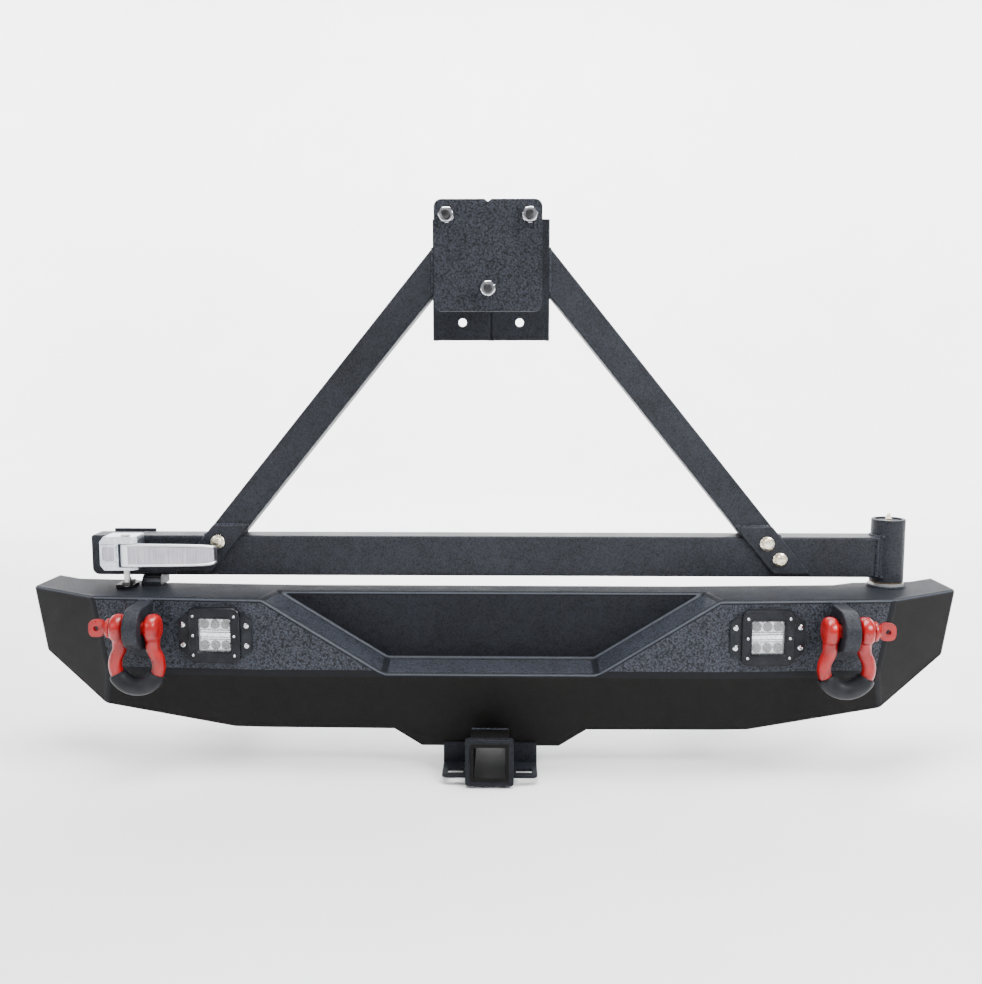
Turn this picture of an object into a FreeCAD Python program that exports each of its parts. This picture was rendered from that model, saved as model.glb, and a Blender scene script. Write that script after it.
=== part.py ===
"""Rear bumper with a swing-away spare tire carrier, as a parametric FreeCAD document.

Lengths are in millimetres. +X is the object's right as seen from behind the vehicle, +Y points at the
vehicle and +Z is up. The origin is the centre of the four-hole pattern that bolts the bumper to the frame.
Positions in the code are written from the bumper datum, the middle of the bumper's top front edge, and
at() turns them into the object's frame.
"""
import FreeCAD, Part
import math
import os

import Sketcher

V = FreeCAD.Vector

# ---------------------------------------------------------------- driving dimensions
DIMS = {
    "mount_reach": 240, "mount_drop": 110, "bolt_spacing_wide": 880, "bolt_spacing_high": 80,
    "bolt_hole_radius": 6.75, "skin": 4,
    "recess_half": 380, "recess_foot": 177, "recess_depth": 65, "panel_height": 126,
    "corner_half": 669, "corner_back": 18, "tip_half": 802, "tip_back": 100, "tail_back": 196,
    "undercut": 0.18, "lower_height": 99, "drop_height": 131, "drop_half": 116, "drop_shoulder": 162,
    "tail_lean": 3, "toe_half": 655, "toe_drop": 62, "hem_half": 433, "well_lean": 14, "well_rise": 9,
    "heel_back": 101, "heel_drop": 113, "tail_drop": 72,
    "flange_top": 44, "flange_low": 176, "flange_out": 96, "crossbar_back": 70, "collar_round": 5,
    "bracket_wall": 8, "crossbar_high": 60, "crossbar_deep": 50, "crossbar_wall": 4,
    "receiver_outer": 63.5, "receiver_bore": 51.5, "receiver_long": 205, "collar_outer": 79,
    "collar_deep": 13, "receiver_drop": 258.5, "receiver_reach": 55, "hitch_pin_radius": 8.2,
    "hitch_pin_back": 47, "chain_plate": 5, "chain_wide": 47, "chain_high": 34, "chain_deep": 63,
    "chain_back": 22, "chain_top": 250,
    "tab_thick": 25, "tab_radius": 34, "tab_half": 575, "shackle_reach": 40, "shackle_drop": 40,
    "pin_radius": 11, "bow_rod": 11, "bow_radius": 36, "bow_drop": 61, "bow_gap": 32, "bow_neck": 30,
    "ear_thick": 24, "ear_radius": 23.5, "sleeve_radius": 15.5,
    "pin_collar": 4, "collar_long": 6, "lug_long": 24, "lug_half": 14, "lug_thick": 10, "lug_hole": 4.5,
    "light_half": 457.5, "light_drop": 61.5, "flange_wide": 125, "flange_high": 97, "flange_thick": 4,
    "bezel_wide": 88, "bezel_high": 94, "bezel_thick": 6, "lens_wide": 54, "lens_high": 55,
    "pod_wide": 84, "pod_high": 72, "pod_deep": 50, "pod_back": 6, "gland_radius": 6.5, "gland_long": 12,
    "flange_cut_wide": 30, "flange_cut_high": 23, "lens_thick": 3, "reflector_deep": 18, "cup_radius": 7.8,
    "cup_floor": 3, "cup_deep": 12, "cup_row": 17.5, "screw_high": 2.4,
    "hinge_half": 690, "hinge_back": 126, "barrel_radius": 28.5, "barrel_bore": 22.5, "barrel_high": 109,
    "barrel_foot": 10, "spindle_radius": 19, "bush_long": 24, "bush_fit": 0.05, "thread_radius": 12,
    "spindle_high": 86, "spindle_rim": 8, "base_plate": 8, "thread_high": 108, "hinge_nut_flats": 36,
    "hinge_nut_high": 18, "cap_low": 111, "cap_thick": 5, "running_gap": 0.1,
    "beam_high": 70, "beam_deep": 50, "beam_wall": 4, "beam_foot": 19.5, "beam_end": 698, "beam_round": 10,
    "leg_wide": 50, "leg_wall": 4, "leg_top_half": 98, "leg_top_high": 581, "leg_foot_half": 498,
    "foot_thick": 6, "foot_low": 25, "foot_high": 109, "bolt_radius": 6, "bolt_clear": 0.5,
    "channel_wide": 96.5, "channel_high": 200, "channel_foot": 425, "channel_thick": 5, "channel_deep": 35,
    "plate_wide": 158, "plate_high": 161, "plate_thick": 6, "plate_reach": 140, "plate_mid": 543.5,
    "plate_round": 11, "stud_radius": 6, "stud_circle": 139.7, "stud_mid": 566, "stud_long": 32,
    "stud_knurl": 6.5, "stud_pitch": 5.51,
    "lug_flange": 13, "lug_rim": 3, "lug_flats": 19, "lug_crown": 11, "stud_head": 8.5, "stud_head_high": 5,
    "bolt_flange": 12.5, "bolt_rim": 2.5, "bolt_flats": 18, "bolt_crown": 6, "nut_crown": 9.5,
    "thread_fit": 0.02,
    "arm_tube_wide": 64, "arm_tube_high": 74, "arm_wall": 4, "arm_plate_wide": 150, "arm_plate_high": 120,
    "latch_half": 624, "latch_back": 66, "latch_pin": 5, "latch_low": 36, "latch_high": 94, "latch_floor": 5,
    "latch_roof": 12, "latch_front": 10, "latch_left": 42, "latch_right": 20, "latch_plate": 10,
    "latch_block": 31.5, "lever_high": 39, "lever_tip": 470, "lever_thick": 9, "hub_radius": 10,
    "latch_bolt": 4, "backing_plate": 5, "striker_half": 632, "striker_back": 92, "striker_radius": 5.5,
    "striker_base": 6, "post_high": 11, "claw_level": 8, "claw_thick": 6, "pin_head": 3, "latch_flats": 13,
    "latch_head": 5.5, "latch_cut_wide": 7, "latch_cut_high": 9, "backing_left": 674, "backing_right": 600,
    "rest_half": 611, "rest_back": 97, "rest_high": 13, "rest_wide": 34, "rest_deep": 50, "rest_ramp": 5,
    "rest_gap": 0.3,
}

doc = FreeCAD.newDocument("spare_tire_carrier")
sheet = doc.addObject("Spreadsheet::Sheet", "dims")
for row, (alias, value) in enumerate(DIMS.items(), start=1):
    sheet.set(f"A{row}", alias)
    sheet.set(f"B{row}", str(value))
    sheet.setAlias(f"B{row}", alias)
doc.recompute()


def mm(alias):
    """A driving dimension, read from the sheet."""
    return float(sheet.get(alias))


def at(x, y, z):
    """A point given from the bumper datum, in the object's frame."""
    return V(x, y - mm("mount_reach"), z + mm("mount_drop"))


PARTS = {}


def part(label, item):
    """Names a finished sub-part, which is written to a file of that name."""
    item.Label = label
    PARTS[label] = item
    return item


# ---------------------------------------------------------------- sketch and body helpers
class Builder:
    """One PartDesign body, with short calls for its sketches and features."""

    def __init__(self, label, place, turn=None):
        self.body = doc.addObject("PartDesign::Body", "Body_" + label)
        self.body.Placement = FreeCAD.Placement(place, turn or FreeCAD.Rotation())
        self.label = label
        self.count = 0
        part(label, self.body)

    def sketch(self, role, offset="0"):
        self.count += 1
        item = self.body.newObject("Sketcher::SketchObject", f"{self.label}_sketch{self.count}")
        plane = [f for f in self.body.Origin.OriginFeatures if f.Role == role][0]
        item.AttachmentSupport = [(plane, "")]
        item.MapMode = "FlatFace"
        item.setExpression("AttachmentOffset.Base.z", offset)
        return item

    def pad(self, sketch, length, back=False):
        item = self.body.newObject("PartDesign::Pad", f"{self.label}_pad{self.count}")
        item.Profile = sketch
        item.setExpression("Length", length)
        item.Reversed = back
        sketch.Visibility = False
        return item

    def pocket(self, sketch, length, back=False):
        item = self.body.newObject("PartDesign::Pocket", f"{self.label}_pocket{self.count}")
        item.Profile = sketch
        item.setExpression("Length", length)
        item.Reversed = back
        return item

    def revolve(self, sketch):
        item = self.body.newObject("PartDesign::Revolution", f"{self.label}_turn{self.count}")
        item.Profile = sketch
        item.ReferenceAxis = (sketch, ["V_Axis"])
        item.Angle = 360
        return item

    def fillet(self, base, radius, chosen):
        """Rounds the edges of base for which chosen(edge) is true."""
        doc.recompute()
        names = [f"Edge{i}" for i, edge in enumerate(base.Shape.Edges, start=1) if chosen(edge)]
        item = self.body.newObject("PartDesign::Fillet", f"{self.label}_fillet{self.count}")
        item.Base = (base, names)
        item.setExpression("Radius", radius)
        return item


def loop(sketch, corners):
    """A closed outline whose corners are bound to (x, y) expressions."""
    first = sketch.GeometryCount
    size = len(corners)
    start = []
    for i in range(size):
        angle = 2 * math.pi * i / size
        start.append(V(50 * math.cos(angle), 50 * math.sin(angle), 0))
    for i in range(size):
        sketch.addGeometry(Part.LineSegment(start[i], start[(i + 1) % size]), False)
    for i in range(size):
        sketch.addConstraint(Sketcher.Constraint("Coincident", first + i, 2, first + (i + 1) % size, 1))
    for i, (x, y) in enumerate(corners):
        across = sketch.addConstraint(Sketcher.Constraint("DistanceX", -1, 1, first + i, 1, start[i].x))
        sketch.setExpression(f"Constraints[{across}]", x)
        up = sketch.addConstraint(Sketcher.Constraint("DistanceY", -1, 1, first + i, 1, start[i].y))
        sketch.setExpression(f"Constraints[{up}]", y)


def box_loop(sketch, x_low, x_high, y_low, y_high):
    """A rectangle between four expressions."""
    loop(sketch, [(x_low, y_low), (x_high, y_low), (x_high, y_high), (x_low, y_high)])


def centred(sketch, wide, high):
    """A rectangle about the sketch's origin."""
    box_loop(sketch, f"-({wide}) / 2", f"({wide}) / 2", f"-({high}) / 2", f"({high}) / 2")


def ring(sketch, x, y, radius):
    """A circle whose centre and radius are expressions."""
    index = sketch.addGeometry(Part.Circle(V(1, 1, 0), V(0, 0, 1), 3), False)
    across = sketch.addConstraint(Sketcher.Constraint("DistanceX", -1, 1, index, 3, 1))
    sketch.setExpression(f"Constraints[{across}]", x)
    up = sketch.addConstraint(Sketcher.Constraint("DistanceY", -1, 1, index, 3, 1))
    sketch.setExpression(f"Constraints[{up}]", y)
    size = sketch.addConstraint(Sketcher.Constraint("Radius", index, 3))
    sketch.setExpression(f"Constraints[{size}]", radius)


def hexagon(sketch, x, y, across_flats):
    """A hexagon with two flats parallel to the sketch's Y axis."""
    half = f"({across_flats}) / 2"
    corner = f"({across_flats}) / (2 * cos(30))"
    corners = []
    for step in range(6):
        angle = 30 + 60 * step
        corners.append((f"{x} + {corner} * cos({angle})", f"{y} + {corner} * sin({angle})"))
    loop(sketch, corners)


def cylinder(name, place, axis, radius, height):
    """A Part cylinder from place along axis, with its sizes bound to expressions."""
    item = doc.addObject("Part::Cylinder", name)
    item.setExpression("Radius", radius)
    item.setExpression("Height", height)
    item.Placement = FreeCAD.Placement(place, FreeCAD.Rotation(V(0, 0, 1), axis))
    return item


def block(name, place, long, deep, high, turn=None):
    """A Part box from its low corner, with its sizes bound to expressions."""
    item = doc.addObject("Part::Box", name)
    item.setExpression("Length", long)
    item.setExpression("Width", deep)
    item.setExpression("Height", high)
    item.Placement = FreeCAD.Placement(place, turn or FreeCAD.Rotation())
    return item


def fuse(name, shapes):
    item = doc.addObject("Part::MultiFuse", name)
    item.Shapes = shapes
    item.Refine = True
    return item


def cut(name, base, tool):
    item = doc.addObject("Part::Cut", name)
    item.Base = base
    item.Tool = tool
    return item


def group(name, shapes):
    """Separate solids that share one file, as identical fasteners do."""
    item = doc.addObject("Part::Compound", name)
    item.Links = shapes
    return part(name, item)


SIDES = {"left": -1, "right": 1}

# ---------------------------------------------------------------- bumper skin
# The skin's plates lean in several directions, so each one is built from the corners of its outer face
# and thickened inwards. A plate gives way to the ones listed before it, so neighbours meet face to face.
SWEEP = (mm("corner_back")) / (mm("corner_half") - mm("recess_half"))
PANEL_Z = -mm("panel_height")
ACROSS = V(100, 0, 0)
REAR_EDGE = [(745, 162), (640, 152), (600, 131), (330, 115)]


def panel_y(x):
    """Depth of the upper front panel at x: straight in the middle, swept back outside the recess."""
    return max(0.0, abs(x) - mm("recess_half")) * SWEEP


def lower_point(x, z):
    """A point of the undercut lower face."""
    return V(x, panel_y(x) + mm("undercut") * (PANEL_Z - z), z)


def meet(point, normal, start, end):
    """Where the line through start and end crosses the plane through point."""
    step = end - start
    return start + step * ((point - start).dot(normal) / step.dot(normal))


def skin_points():
    """The corners of the right half's outer faces, measured from the bumper datum."""
    half, foot, deep = mm("recess_half"), mm("recess_foot"), mm("recess_depth")
    bottom_z = PANEL_Z - mm("lower_height")
    drop_z = PANEL_Z - mm("drop_height")
    p = {
        "lip_top": V(half, 0, 0),
        "lip_foot": V(foot, 0, PANEL_Z),
        "bend_foot": V(half, 0, PANEL_Z),
        "corner": V(mm("corner_half"), mm("corner_back"), 0),
        "tip": V(mm("tip_half"), mm("tip_back"), 0),
        "tail": V(mm("tip_half") - mm("tail_lean"), mm("tail_back"), 0),
        "toe": lower_point(mm("toe_half"), PANEL_Z - mm("toe_drop")),
        "hem": lower_point(mm("hem_half"), bottom_z),
        "hem_bend": lower_point(half, bottom_z),
        "shoulder": lower_point(mm("drop_shoulder"), bottom_z - 1),
        "drop": lower_point(mm("drop_half"), drop_z),
        "well_top": V(half - mm("well_lean"), deep, 0),
    }
    wing = (p["tip"] - p["corner"]).cross(p["toe"] - p["corner"])
    panel_low = V(mm("corner_half"), mm("corner_back"), PANEL_Z)
    p["corner_foot"] = meet(p["corner"], wing, p["bend_foot"], panel_low)
    heel = V(half, mm("heel_back"), -mm("heel_drop"))
    p["heel"] = meet(p["corner"], wing, heel, heel + ACROSS)
    ramp = (p["lip_foot"] - p["lip_top"]).cross(p["well_top"] - p["lip_top"])
    well = V(0, deep, PANEL_Z + mm("well_rise"))
    p["well_foot"] = meet(p["lip_top"], ramp, well, well + ACROSS)
    end = (p["tail"] - p["tip"]).cross(p["heel"] - p["tip"])
    tail = V(half, p["tail"].y, -mm("tail_drop"))
    p["tail_foot"] = meet(p["tip"], end, tail, tail + ACROSS)
    return p


RIGHT = skin_points()


def corner_at(name, side):
    point = RIGHT[name]
    return V(point.x * side, point.y, point.z)


def plate(corners, outward, thick):
    """A flat plate from its outer face's corners, thickened away from the outward direction."""
    face = Part.Face(Part.makePolygon(corners + [corners[0]]))
    normal = (corners[1] - corners[0]).cross(corners[2] - corners[0])
    for i in range(1, len(corners) - 1):
        other = (corners[i] - corners[0]).cross(corners[i + 1] - corners[0])
        if other.Length > normal.Length:
            normal = other
    normal.normalize()
    if normal.dot(outward) < 0:
        normal = -normal
    return face.extrude(normal * -thick)


ABOVE = Part.makeBox(4 * mm("tip_half"), 4 * mm("tail_back"), 50, V(-2 * mm("tip_half"), -mm("tail_back"), 0))


def skin(label, plates, minus):
    """A skin sub-part: its plates joined, less the shapes it gives way to and the slivers they leave."""
    shape = plates[0]
    if len(plates) > 1:
        shape = shape.multiFuse(plates[1:]).removeSplitter()
    for tool in minus:
        shape = shape.cut(tool)
    shape = shape.cut(ABOVE)
    item = doc.addObject("Part::Feature", "Skin_" + label)
    item.Shape = max(shape.Solids, key=lambda solid: solid.Volume)
    item.Placement = FreeCAD.Placement(at(0, 0, 0), FreeCAD.Rotation())
    part(label, item)
    return shape


def light_place(side):
    """Centre of a light on the upper front panel, and the turn that lays it on the panel."""
    x = side * mm("light_half")
    turn = FreeCAD.Rotation(V(0, 0, 1), side * math.degrees(math.atan(SWEEP)))
    return V(x, panel_y(x), -mm("light_drop")), turn


def light_window(side):
    """The rectangular hole that a light's pod passes through."""
    centre, turn = light_place(side)
    wide, high = mm("pod_wide") + 2, mm("pod_high") + 2
    hole = Part.makeBox(wide, 60, high, V(-wide / 2, -30, -high / 2))
    hole.Placement = FreeCAD.Placement(centre, turn)
    return hole


def build_skin():
    thick = mm("skin")
    rear = [V(x, y, 0) for x, y in REAR_EDGE]
    right = [RIGHT["well_top"], RIGHT["lip_top"], RIGHT["corner"], RIGHT["tip"], RIGHT["tail"]] + rear
    left = [V(-p.x, p.y, p.z) for p in reversed(right)]
    hinge = Part.makeCylinder(mm("spindle_radius"), 40, V(mm("hinge_half"), mm("hinge_back"), -20))
    shelf = skin("top_shelf", [plate(right + left, V(0, 0, 1), thick)], [hinge])

    panels = []
    for name, side in SIDES.items():
        flat = [corner_at(k, side) for k in ("lip_foot", "bend_foot", "lip_top")]
        swept = [corner_at(k, side) for k in ("bend_foot", "corner_foot", "corner", "lip_top")]
        faces = [plate(flat, V(0, -1, 0), thick), plate(swept, V(0, -1, 0), thick)]
        panels.append(skin(f"front_panel_{name}", faces, [shelf, light_window(side)]))

    middle = [corner_at(k, 1) for k in ("lip_foot", "bend_foot", "hem_bend", "shoulder", "drop")]
    middle += [corner_at(k, -1) for k in ("drop", "shoulder", "hem_bend", "bend_foot", "lip_foot")]
    faces = [plate(middle, V(0, -1, 0), thick)]
    for side in SIDES.values():
        outer = [corner_at(k, side) for k in ("bend_foot", "corner_foot", "toe", "hem", "hem_bend")]
        faces.append(plate(outer, V(0, -1, 0), thick))
    half = mm("receiver_outer") / 2
    notch = Part.makeBox(2 * half + 1, 120, 80, V(-half - 0.5, -40, -mm("receiver_drop") - 80 + half + 0.5))
    lower = skin("lower_panel", faces, panels + [notch])

    lap = 2 * thick
    high, low = RIGHT["well_top"] + V(lap, 0, 0), RIGHT["well_foot"] + V(lap, 0, -lap)
    back = [high, low, V(-low.x, low.y, low.z), V(-high.x, high.y, high.z)]
    front, rear = RIGHT["lip_foot"] + V(lap, 0, 0), RIGHT["well_foot"] + V(lap, 0, 0)
    floor = [front, rear, V(-rear.x, rear.y, rear.z), V(-front.x, front.y, front.z)]
    tray = [plate(back, V(0, -1, 0), thick), plate(floor, V(0, 0, 1), thick)]
    for side in SIDES.values():
        tray.append(plate([corner_at(k, side) for k in ("lip_top", "well_top", "well_foot", "lip_foot")],
                          V(-side, 0, 1), thick))
    skin("recess_tray", tray, [shelf, lower] + panels)

    for name, side in SIDES.items():
        face = [corner_at(k, side) for k in ("corner", "tip", "heel", "toe", "corner_foot")]
        end = [corner_at(k, side) for k in ("tip", "tail", "tail_foot", "heel")]
        sheets = [plate(face, V(side, -1, 0), thick), plate(end, V(side, 0, 0), thick)]
        skin(f"wing_{name}", sheets, [shelf, lower] + panels)


build_skin()

# ---------------------------------------------------------------- frame brackets and receiver
BRACKET_X = mm("bolt_spacing_wide") / 2 - mm("flange_out") / 2


def build_frame_bracket(name, side):
    """A side plate under the shelf with a bolting flange turned outwards."""
    b = Builder(f"frame_bracket_{name}", at(side * BRACKET_X, 0, 0))
    web = b.sketch("YZ_Plane")
    face, inner = "dims.mount_reach", "dims.mount_reach - dims.bracket_wall"
    high, low = "-dims.flange_top", "-dims.flange_low"
    loop(web, [("7", "-dims.skin"), ("112", "-dims.skin"), (inner, high), (face, high), (face, low),
               (inner, low), ("132", "-232"), ("62", "-232"), ("16", "-118"), ("7", "-118")])
    b.pad(web, "dims.bracket_wall", back=side < 0)
    flange = b.sketch("XZ_Plane", "-dims.mount_reach")
    mid = f"{side} * (dims.bolt_spacing_wide / 2 - {BRACKET_X})"
    box_loop(flange, "0", f"{side} * dims.flange_out", low, high)
    for row in (-1, 1):
        ring(flange, mid, f"-dims.mount_drop + {row} * dims.bolt_spacing_high / 2", "dims.bolt_hole_radius")
    b.pad(flange, "dims.bracket_wall")


def build_crossmember():
    """The box tube between the brackets that carries the receiver."""
    b = Builder("crossmember", at(-BRACKET_X, mm("crossbar_back"), 0))
    wall = b.sketch("YZ_Plane")
    low = "-dims.receiver_drop + dims.receiver_outer / 2"
    box_loop(wall, "0", "dims.crossbar_deep", low, f"{low} + dims.crossbar_high")
    box_loop(wall, "dims.crossbar_wall", "dims.crossbar_deep - dims.crossbar_wall",
             f"{low} + dims.crossbar_wall", f"{low} + dims.crossbar_high - dims.crossbar_wall")
    b.pad(wall, f"{2 * BRACKET_X}")


def build_receiver():
    """The square receiver tube with its cross hole, and the collar welded round its mouth."""
    b = Builder("receiver_tube", at(0, -mm("receiver_reach"), -mm("receiver_drop")))
    wall = b.sketch("XZ_Plane")
    centred(wall, "dims.receiver_outer", "dims.receiver_outer")
    centred(wall, "dims.receiver_bore", "dims.receiver_bore")
    b.pad(wall, "dims.receiver_long", back=True)
    hole = b.sketch("YZ_Plane", "-dims.receiver_outer")
    ring(hole, "dims.hitch_pin_back", "0", "dims.hitch_pin_radius")
    b.pocket(hole, "2 * dims.receiver_outer", back=True)

    c = Builder("receiver_collar", at(0, -mm("receiver_reach"), -mm("receiver_drop")))
    rim = c.sketch("XZ_Plane")
    centred(rim, "dims.collar_outer", "dims.collar_outer")
    centred(rim, "dims.receiver_outer", "dims.receiver_outer")
    body = c.pad(rim, "dims.collar_deep", back=True)
    c.fillet(body, "dims.collar_round", lambda e: abs(e.tangentAt(e.FirstParameter).y) > 0.99
             and abs(e.CenterOfMass.x) > mm("receiver_outer") / 2 + 1)


def build_chain_bracket(name, side):
    """An angle beside the receiver, with a slot for a safety chain's hook in its floor."""
    corner = at(side * mm("receiver_outer") / 2, mm("chain_back"), -mm("chain_top"))
    b = Builder(f"chain_bracket_{name}", corner)
    floor = b.sketch("XY_Plane", "-dims.chain_high - dims.chain_plate")
    box_loop(floor, "0", f"{side} * dims.chain_wide", "-dims.chain_deep", "0")
    box_loop(floor, f"{side} * 12", f"{side} * (dims.chain_wide - 9)", "-dims.chain_deep + 12",
             "-dims.chain_deep + 30")
    base = b.pad(floor, "dims.chain_plate")
    b.fillet(base, "8", lambda e: abs(e.tangentAt(e.FirstParameter).z) > 0.99
             and abs(e.CenterOfMass.x) > mm("chain_wide") - 1 and e.CenterOfMass.y < -mm("chain_deep") + 1)
    wall = b.sketch("XZ_Plane")
    box_loop(wall, "0", f"{side} * dims.chain_wide", "-dims.chain_high", "0")
    b.pad(wall, "dims.chain_plate")


for side_name, side_sign in SIDES.items():
    build_frame_bracket(side_name, side_sign)
    build_chain_bracket(side_name, side_sign)
build_crossmember()
build_receiver()

# ---------------------------------------------------------------- shackle mounts and shackles


def build_shackle_tab(name, side):
    """A thick rounded ear on the front panel, with a loose hole for the shackle's pin."""
    x = side * mm("tab_half") - mm("tab_thick") / 2
    centre = at(x, -mm("shackle_reach"), -mm("shackle_drop"))
    disc = cylinder(f"Tab_disc_{name}", centre, V(1, 0, 0), "dims.tab_radius", "dims.tab_thick")
    root = Builder(f"tab_root_{name}", at(x, 0, 0))
    del PARTS[f"tab_root_{name}"]
    outline = root.sketch("YZ_Plane")
    top, low = "-dims.shackle_drop + dims.tab_radius", "-dims.shackle_drop - dims.tab_radius"
    reach = "-dims.shackle_reach"
    loop(outline, [("14", top), (reach, top), (reach, low), ("14", f"{low} - 30")])
    root.pad(outline, "dims.tab_thick")
    drill = centre - V(5, 0, 0)
    hole = cylinder(f"Tab_hole_{name}", drill, V(1, 0, 0), "dims.pin_radius + 0.5", "dims.tab_thick + 10")
    drilled = cut(f"Tab_drilled_{name}", fuse(f"Tab_solid_{name}", [disc, root.body]), hole)
    part(f"shackle_tab_{name}", cut(f"Tab_{name}", drilled, PARTS[f"front_panel_{name}"]))


def bow_path(name):
    """The bow's centre line in its own XZ plane: straight necks, reverse bends and a round crown."""
    neck_x = mm("bow_gap") / 2 + mm("bow_rod")
    crown = V(0, 0, -mm("bow_drop"))
    bend_r, crown_r = mm("bow_neck"), mm("bow_radius")
    rise = math.sqrt((crown_r + bend_r) ** 2 - (neck_x + bend_r) ** 2)
    neck_z = crown.z + rise
    lean = math.atan2(rise, neck_x + bend_r)
    touch = crown + V(math.cos(lean), 0, math.sin(lean)) * crown_r
    bend = V(neck_x + bend_r, 0, neck_z)
    half = math.pi + lean / 2
    middle = bend + V(math.cos(half), 0, math.sin(half)) * bend_r
    top = V(neck_x, 0, 0)

    def flip(point):
        return V(-point.x, point.y, point.z)

    edges = [
        Part.LineSegment(top, V(neck_x, 0, neck_z)).toShape(),
        Part.Arc(V(neck_x, 0, neck_z), middle, touch).toShape(),
        Part.Arc(touch, crown - V(0, 0, crown_r), flip(touch)).toShape(),
        Part.Arc(flip(touch), flip(middle), V(-neck_x, 0, neck_z)).toShape(),
        Part.LineSegment(V(-neck_x, 0, neck_z), flip(top)).toShape(),
    ]
    item = doc.addObject("Part::Feature", "Bow_path_" + name)
    item.Shape = Part.Wire(edges)
    return item, neck_x


def sleeve_path(name):
    """The stretch of the crown that the rubber sleeve covers."""
    radius, drop = mm("bow_radius"), mm("bow_drop")
    low = math.radians(-24)
    start = V(radius * math.cos(low), 0, radius * math.sin(low) - drop)
    item = doc.addObject("Part::Feature", "Sleeve_path_" + name)
    item.Shape = Part.Wire([Part.Arc(start, V(0, 0, -radius - drop), V(-start.x, 0, start.z)).toShape()])
    return item, start, low


def sweep(name, spine, radius, place, turn):
    """A round rod along a path."""
    section = doc.addObject("Part::Circle", name + "_section")
    section.setExpression("Radius", radius)
    section.Placement = FreeCAD.Placement(place, turn)
    item = doc.addObject("Part::Sweep", name)
    item.Sections = [section]
    item.Spine = (spine, [f"Edge{i + 1}" for i in range(len(spine.Shape.Edges))])
    item.Solid = True
    item.Frenet = False
    return item


def build_shackle(name, side):
    """The bow, its screw pin with a flat lug head on the outer side, and the rubber sleeve."""
    centre = at(side * mm("tab_half"), -mm("shackle_reach"), -mm("shackle_drop"))
    moved = FreeCAD.Placement(centre, FreeCAD.Rotation())

    path, neck_x = bow_path(name)
    rod = sweep(f"Bow_rod_{name}", path, "dims.bow_rod", V(neck_x, 0, 0), FreeCAD.Rotation())
    ears = []
    for hand in (-1, 1):
        start = V(hand * neck_x - mm("ear_thick") / 2, 0, 0)
        ear = cylinder(f"Ear_{name}_{hand + 2}", start, V(1, 0, 0), "dims.ear_radius", "dims.ear_thick")
        ears.append(ear)
    whole = fuse(f"Bow_whole_{name}", [rod] + ears)
    bore = cylinder(f"Bow_bore_{name}", V(-80, 0, 0), V(1, 0, 0), "dims.pin_radius + dims.bush_fit", "160")
    bow = part(f"shackle_bow_{name}", cut(f"Bow_{name}", whole, bore))
    bow.Placement = moved

    track, start, low = sleeve_path(name)
    across = FreeCAD.Rotation(V(0, 1, 0), -math.degrees(low))
    outer = sweep(f"Sleeve_outer_{name}", track, "dims.sleeve_radius", start, across)
    inner = sweep(f"Sleeve_inner_{name}", track, "dims.bow_rod + 0.1", start, across)
    sleeve = part(f"shackle_sleeve_{name}", cut(f"Sleeve_{name}", outer, inner))
    sleeve.Placement = moved

    edge = neck_x + mm("ear_thick") / 2
    turn = V(side, 0, 0)
    far = V(-side * (edge + 3), 0, 0)
    shaft = cylinder(f"Pin_shaft_{name}", far, turn, "dims.pin_radius", f"{2 * edge + 3}")
    collar = cylinder(f"Pin_collar_{name}", V(side * edge, 0, 0), turn, "dims.pin_radius + dims.pin_collar",
                      "dims.collar_long")
    lug = Builder(f"shackle_pin_lug_{name}", V(side * (edge + mm("collar_long")), 0, 0))
    del PARTS[f"shackle_pin_lug_{name}"]
    outline = lug.sketch("XZ_Plane", "-dims.lug_thick / 2")
    half, root = "dims.lug_half", "(dims.lug_half - 5)"
    end, shoulder = f"{side} * dims.lug_long", f"{side} * (dims.lug_long - 3)"
    loop(outline, [("0", f"-{root}"), (f"{side} * 9", f"-{half}"), (shoulder, f"-{half}"), (end, f"-{root}"),
                   (end, root), (shoulder, half), (f"{side} * 9", half), ("0", root)])
    ring(outline, f"{side} * (dims.lug_long / 2 + 1.5)", "0", "dims.lug_hole")
    lug.pad(outline, "dims.lug_thick")
    pin = part(f"shackle_pin_{name}", fuse(f"Pin_{name}", [shaft, collar, lug.body]))
    pin.Placement = moved


for side_name, side_sign in SIDES.items():
    build_shackle_tab(side_name, side_sign)
    build_shackle(side_name, side_sign)

# ---------------------------------------------------------------- lights
FLANGE_SCREW, BEZEL_SCREW = 4.6, 2.6
FLANGE_SCREWS = [(54 * a, 17 * b) for a in (-1, 1) for b in (-1, 1)]
BEZEL_SCREWS = [(35 * a, 33 * b) for a in (-1, 1) for b in (-1, 0, 1)]


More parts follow.
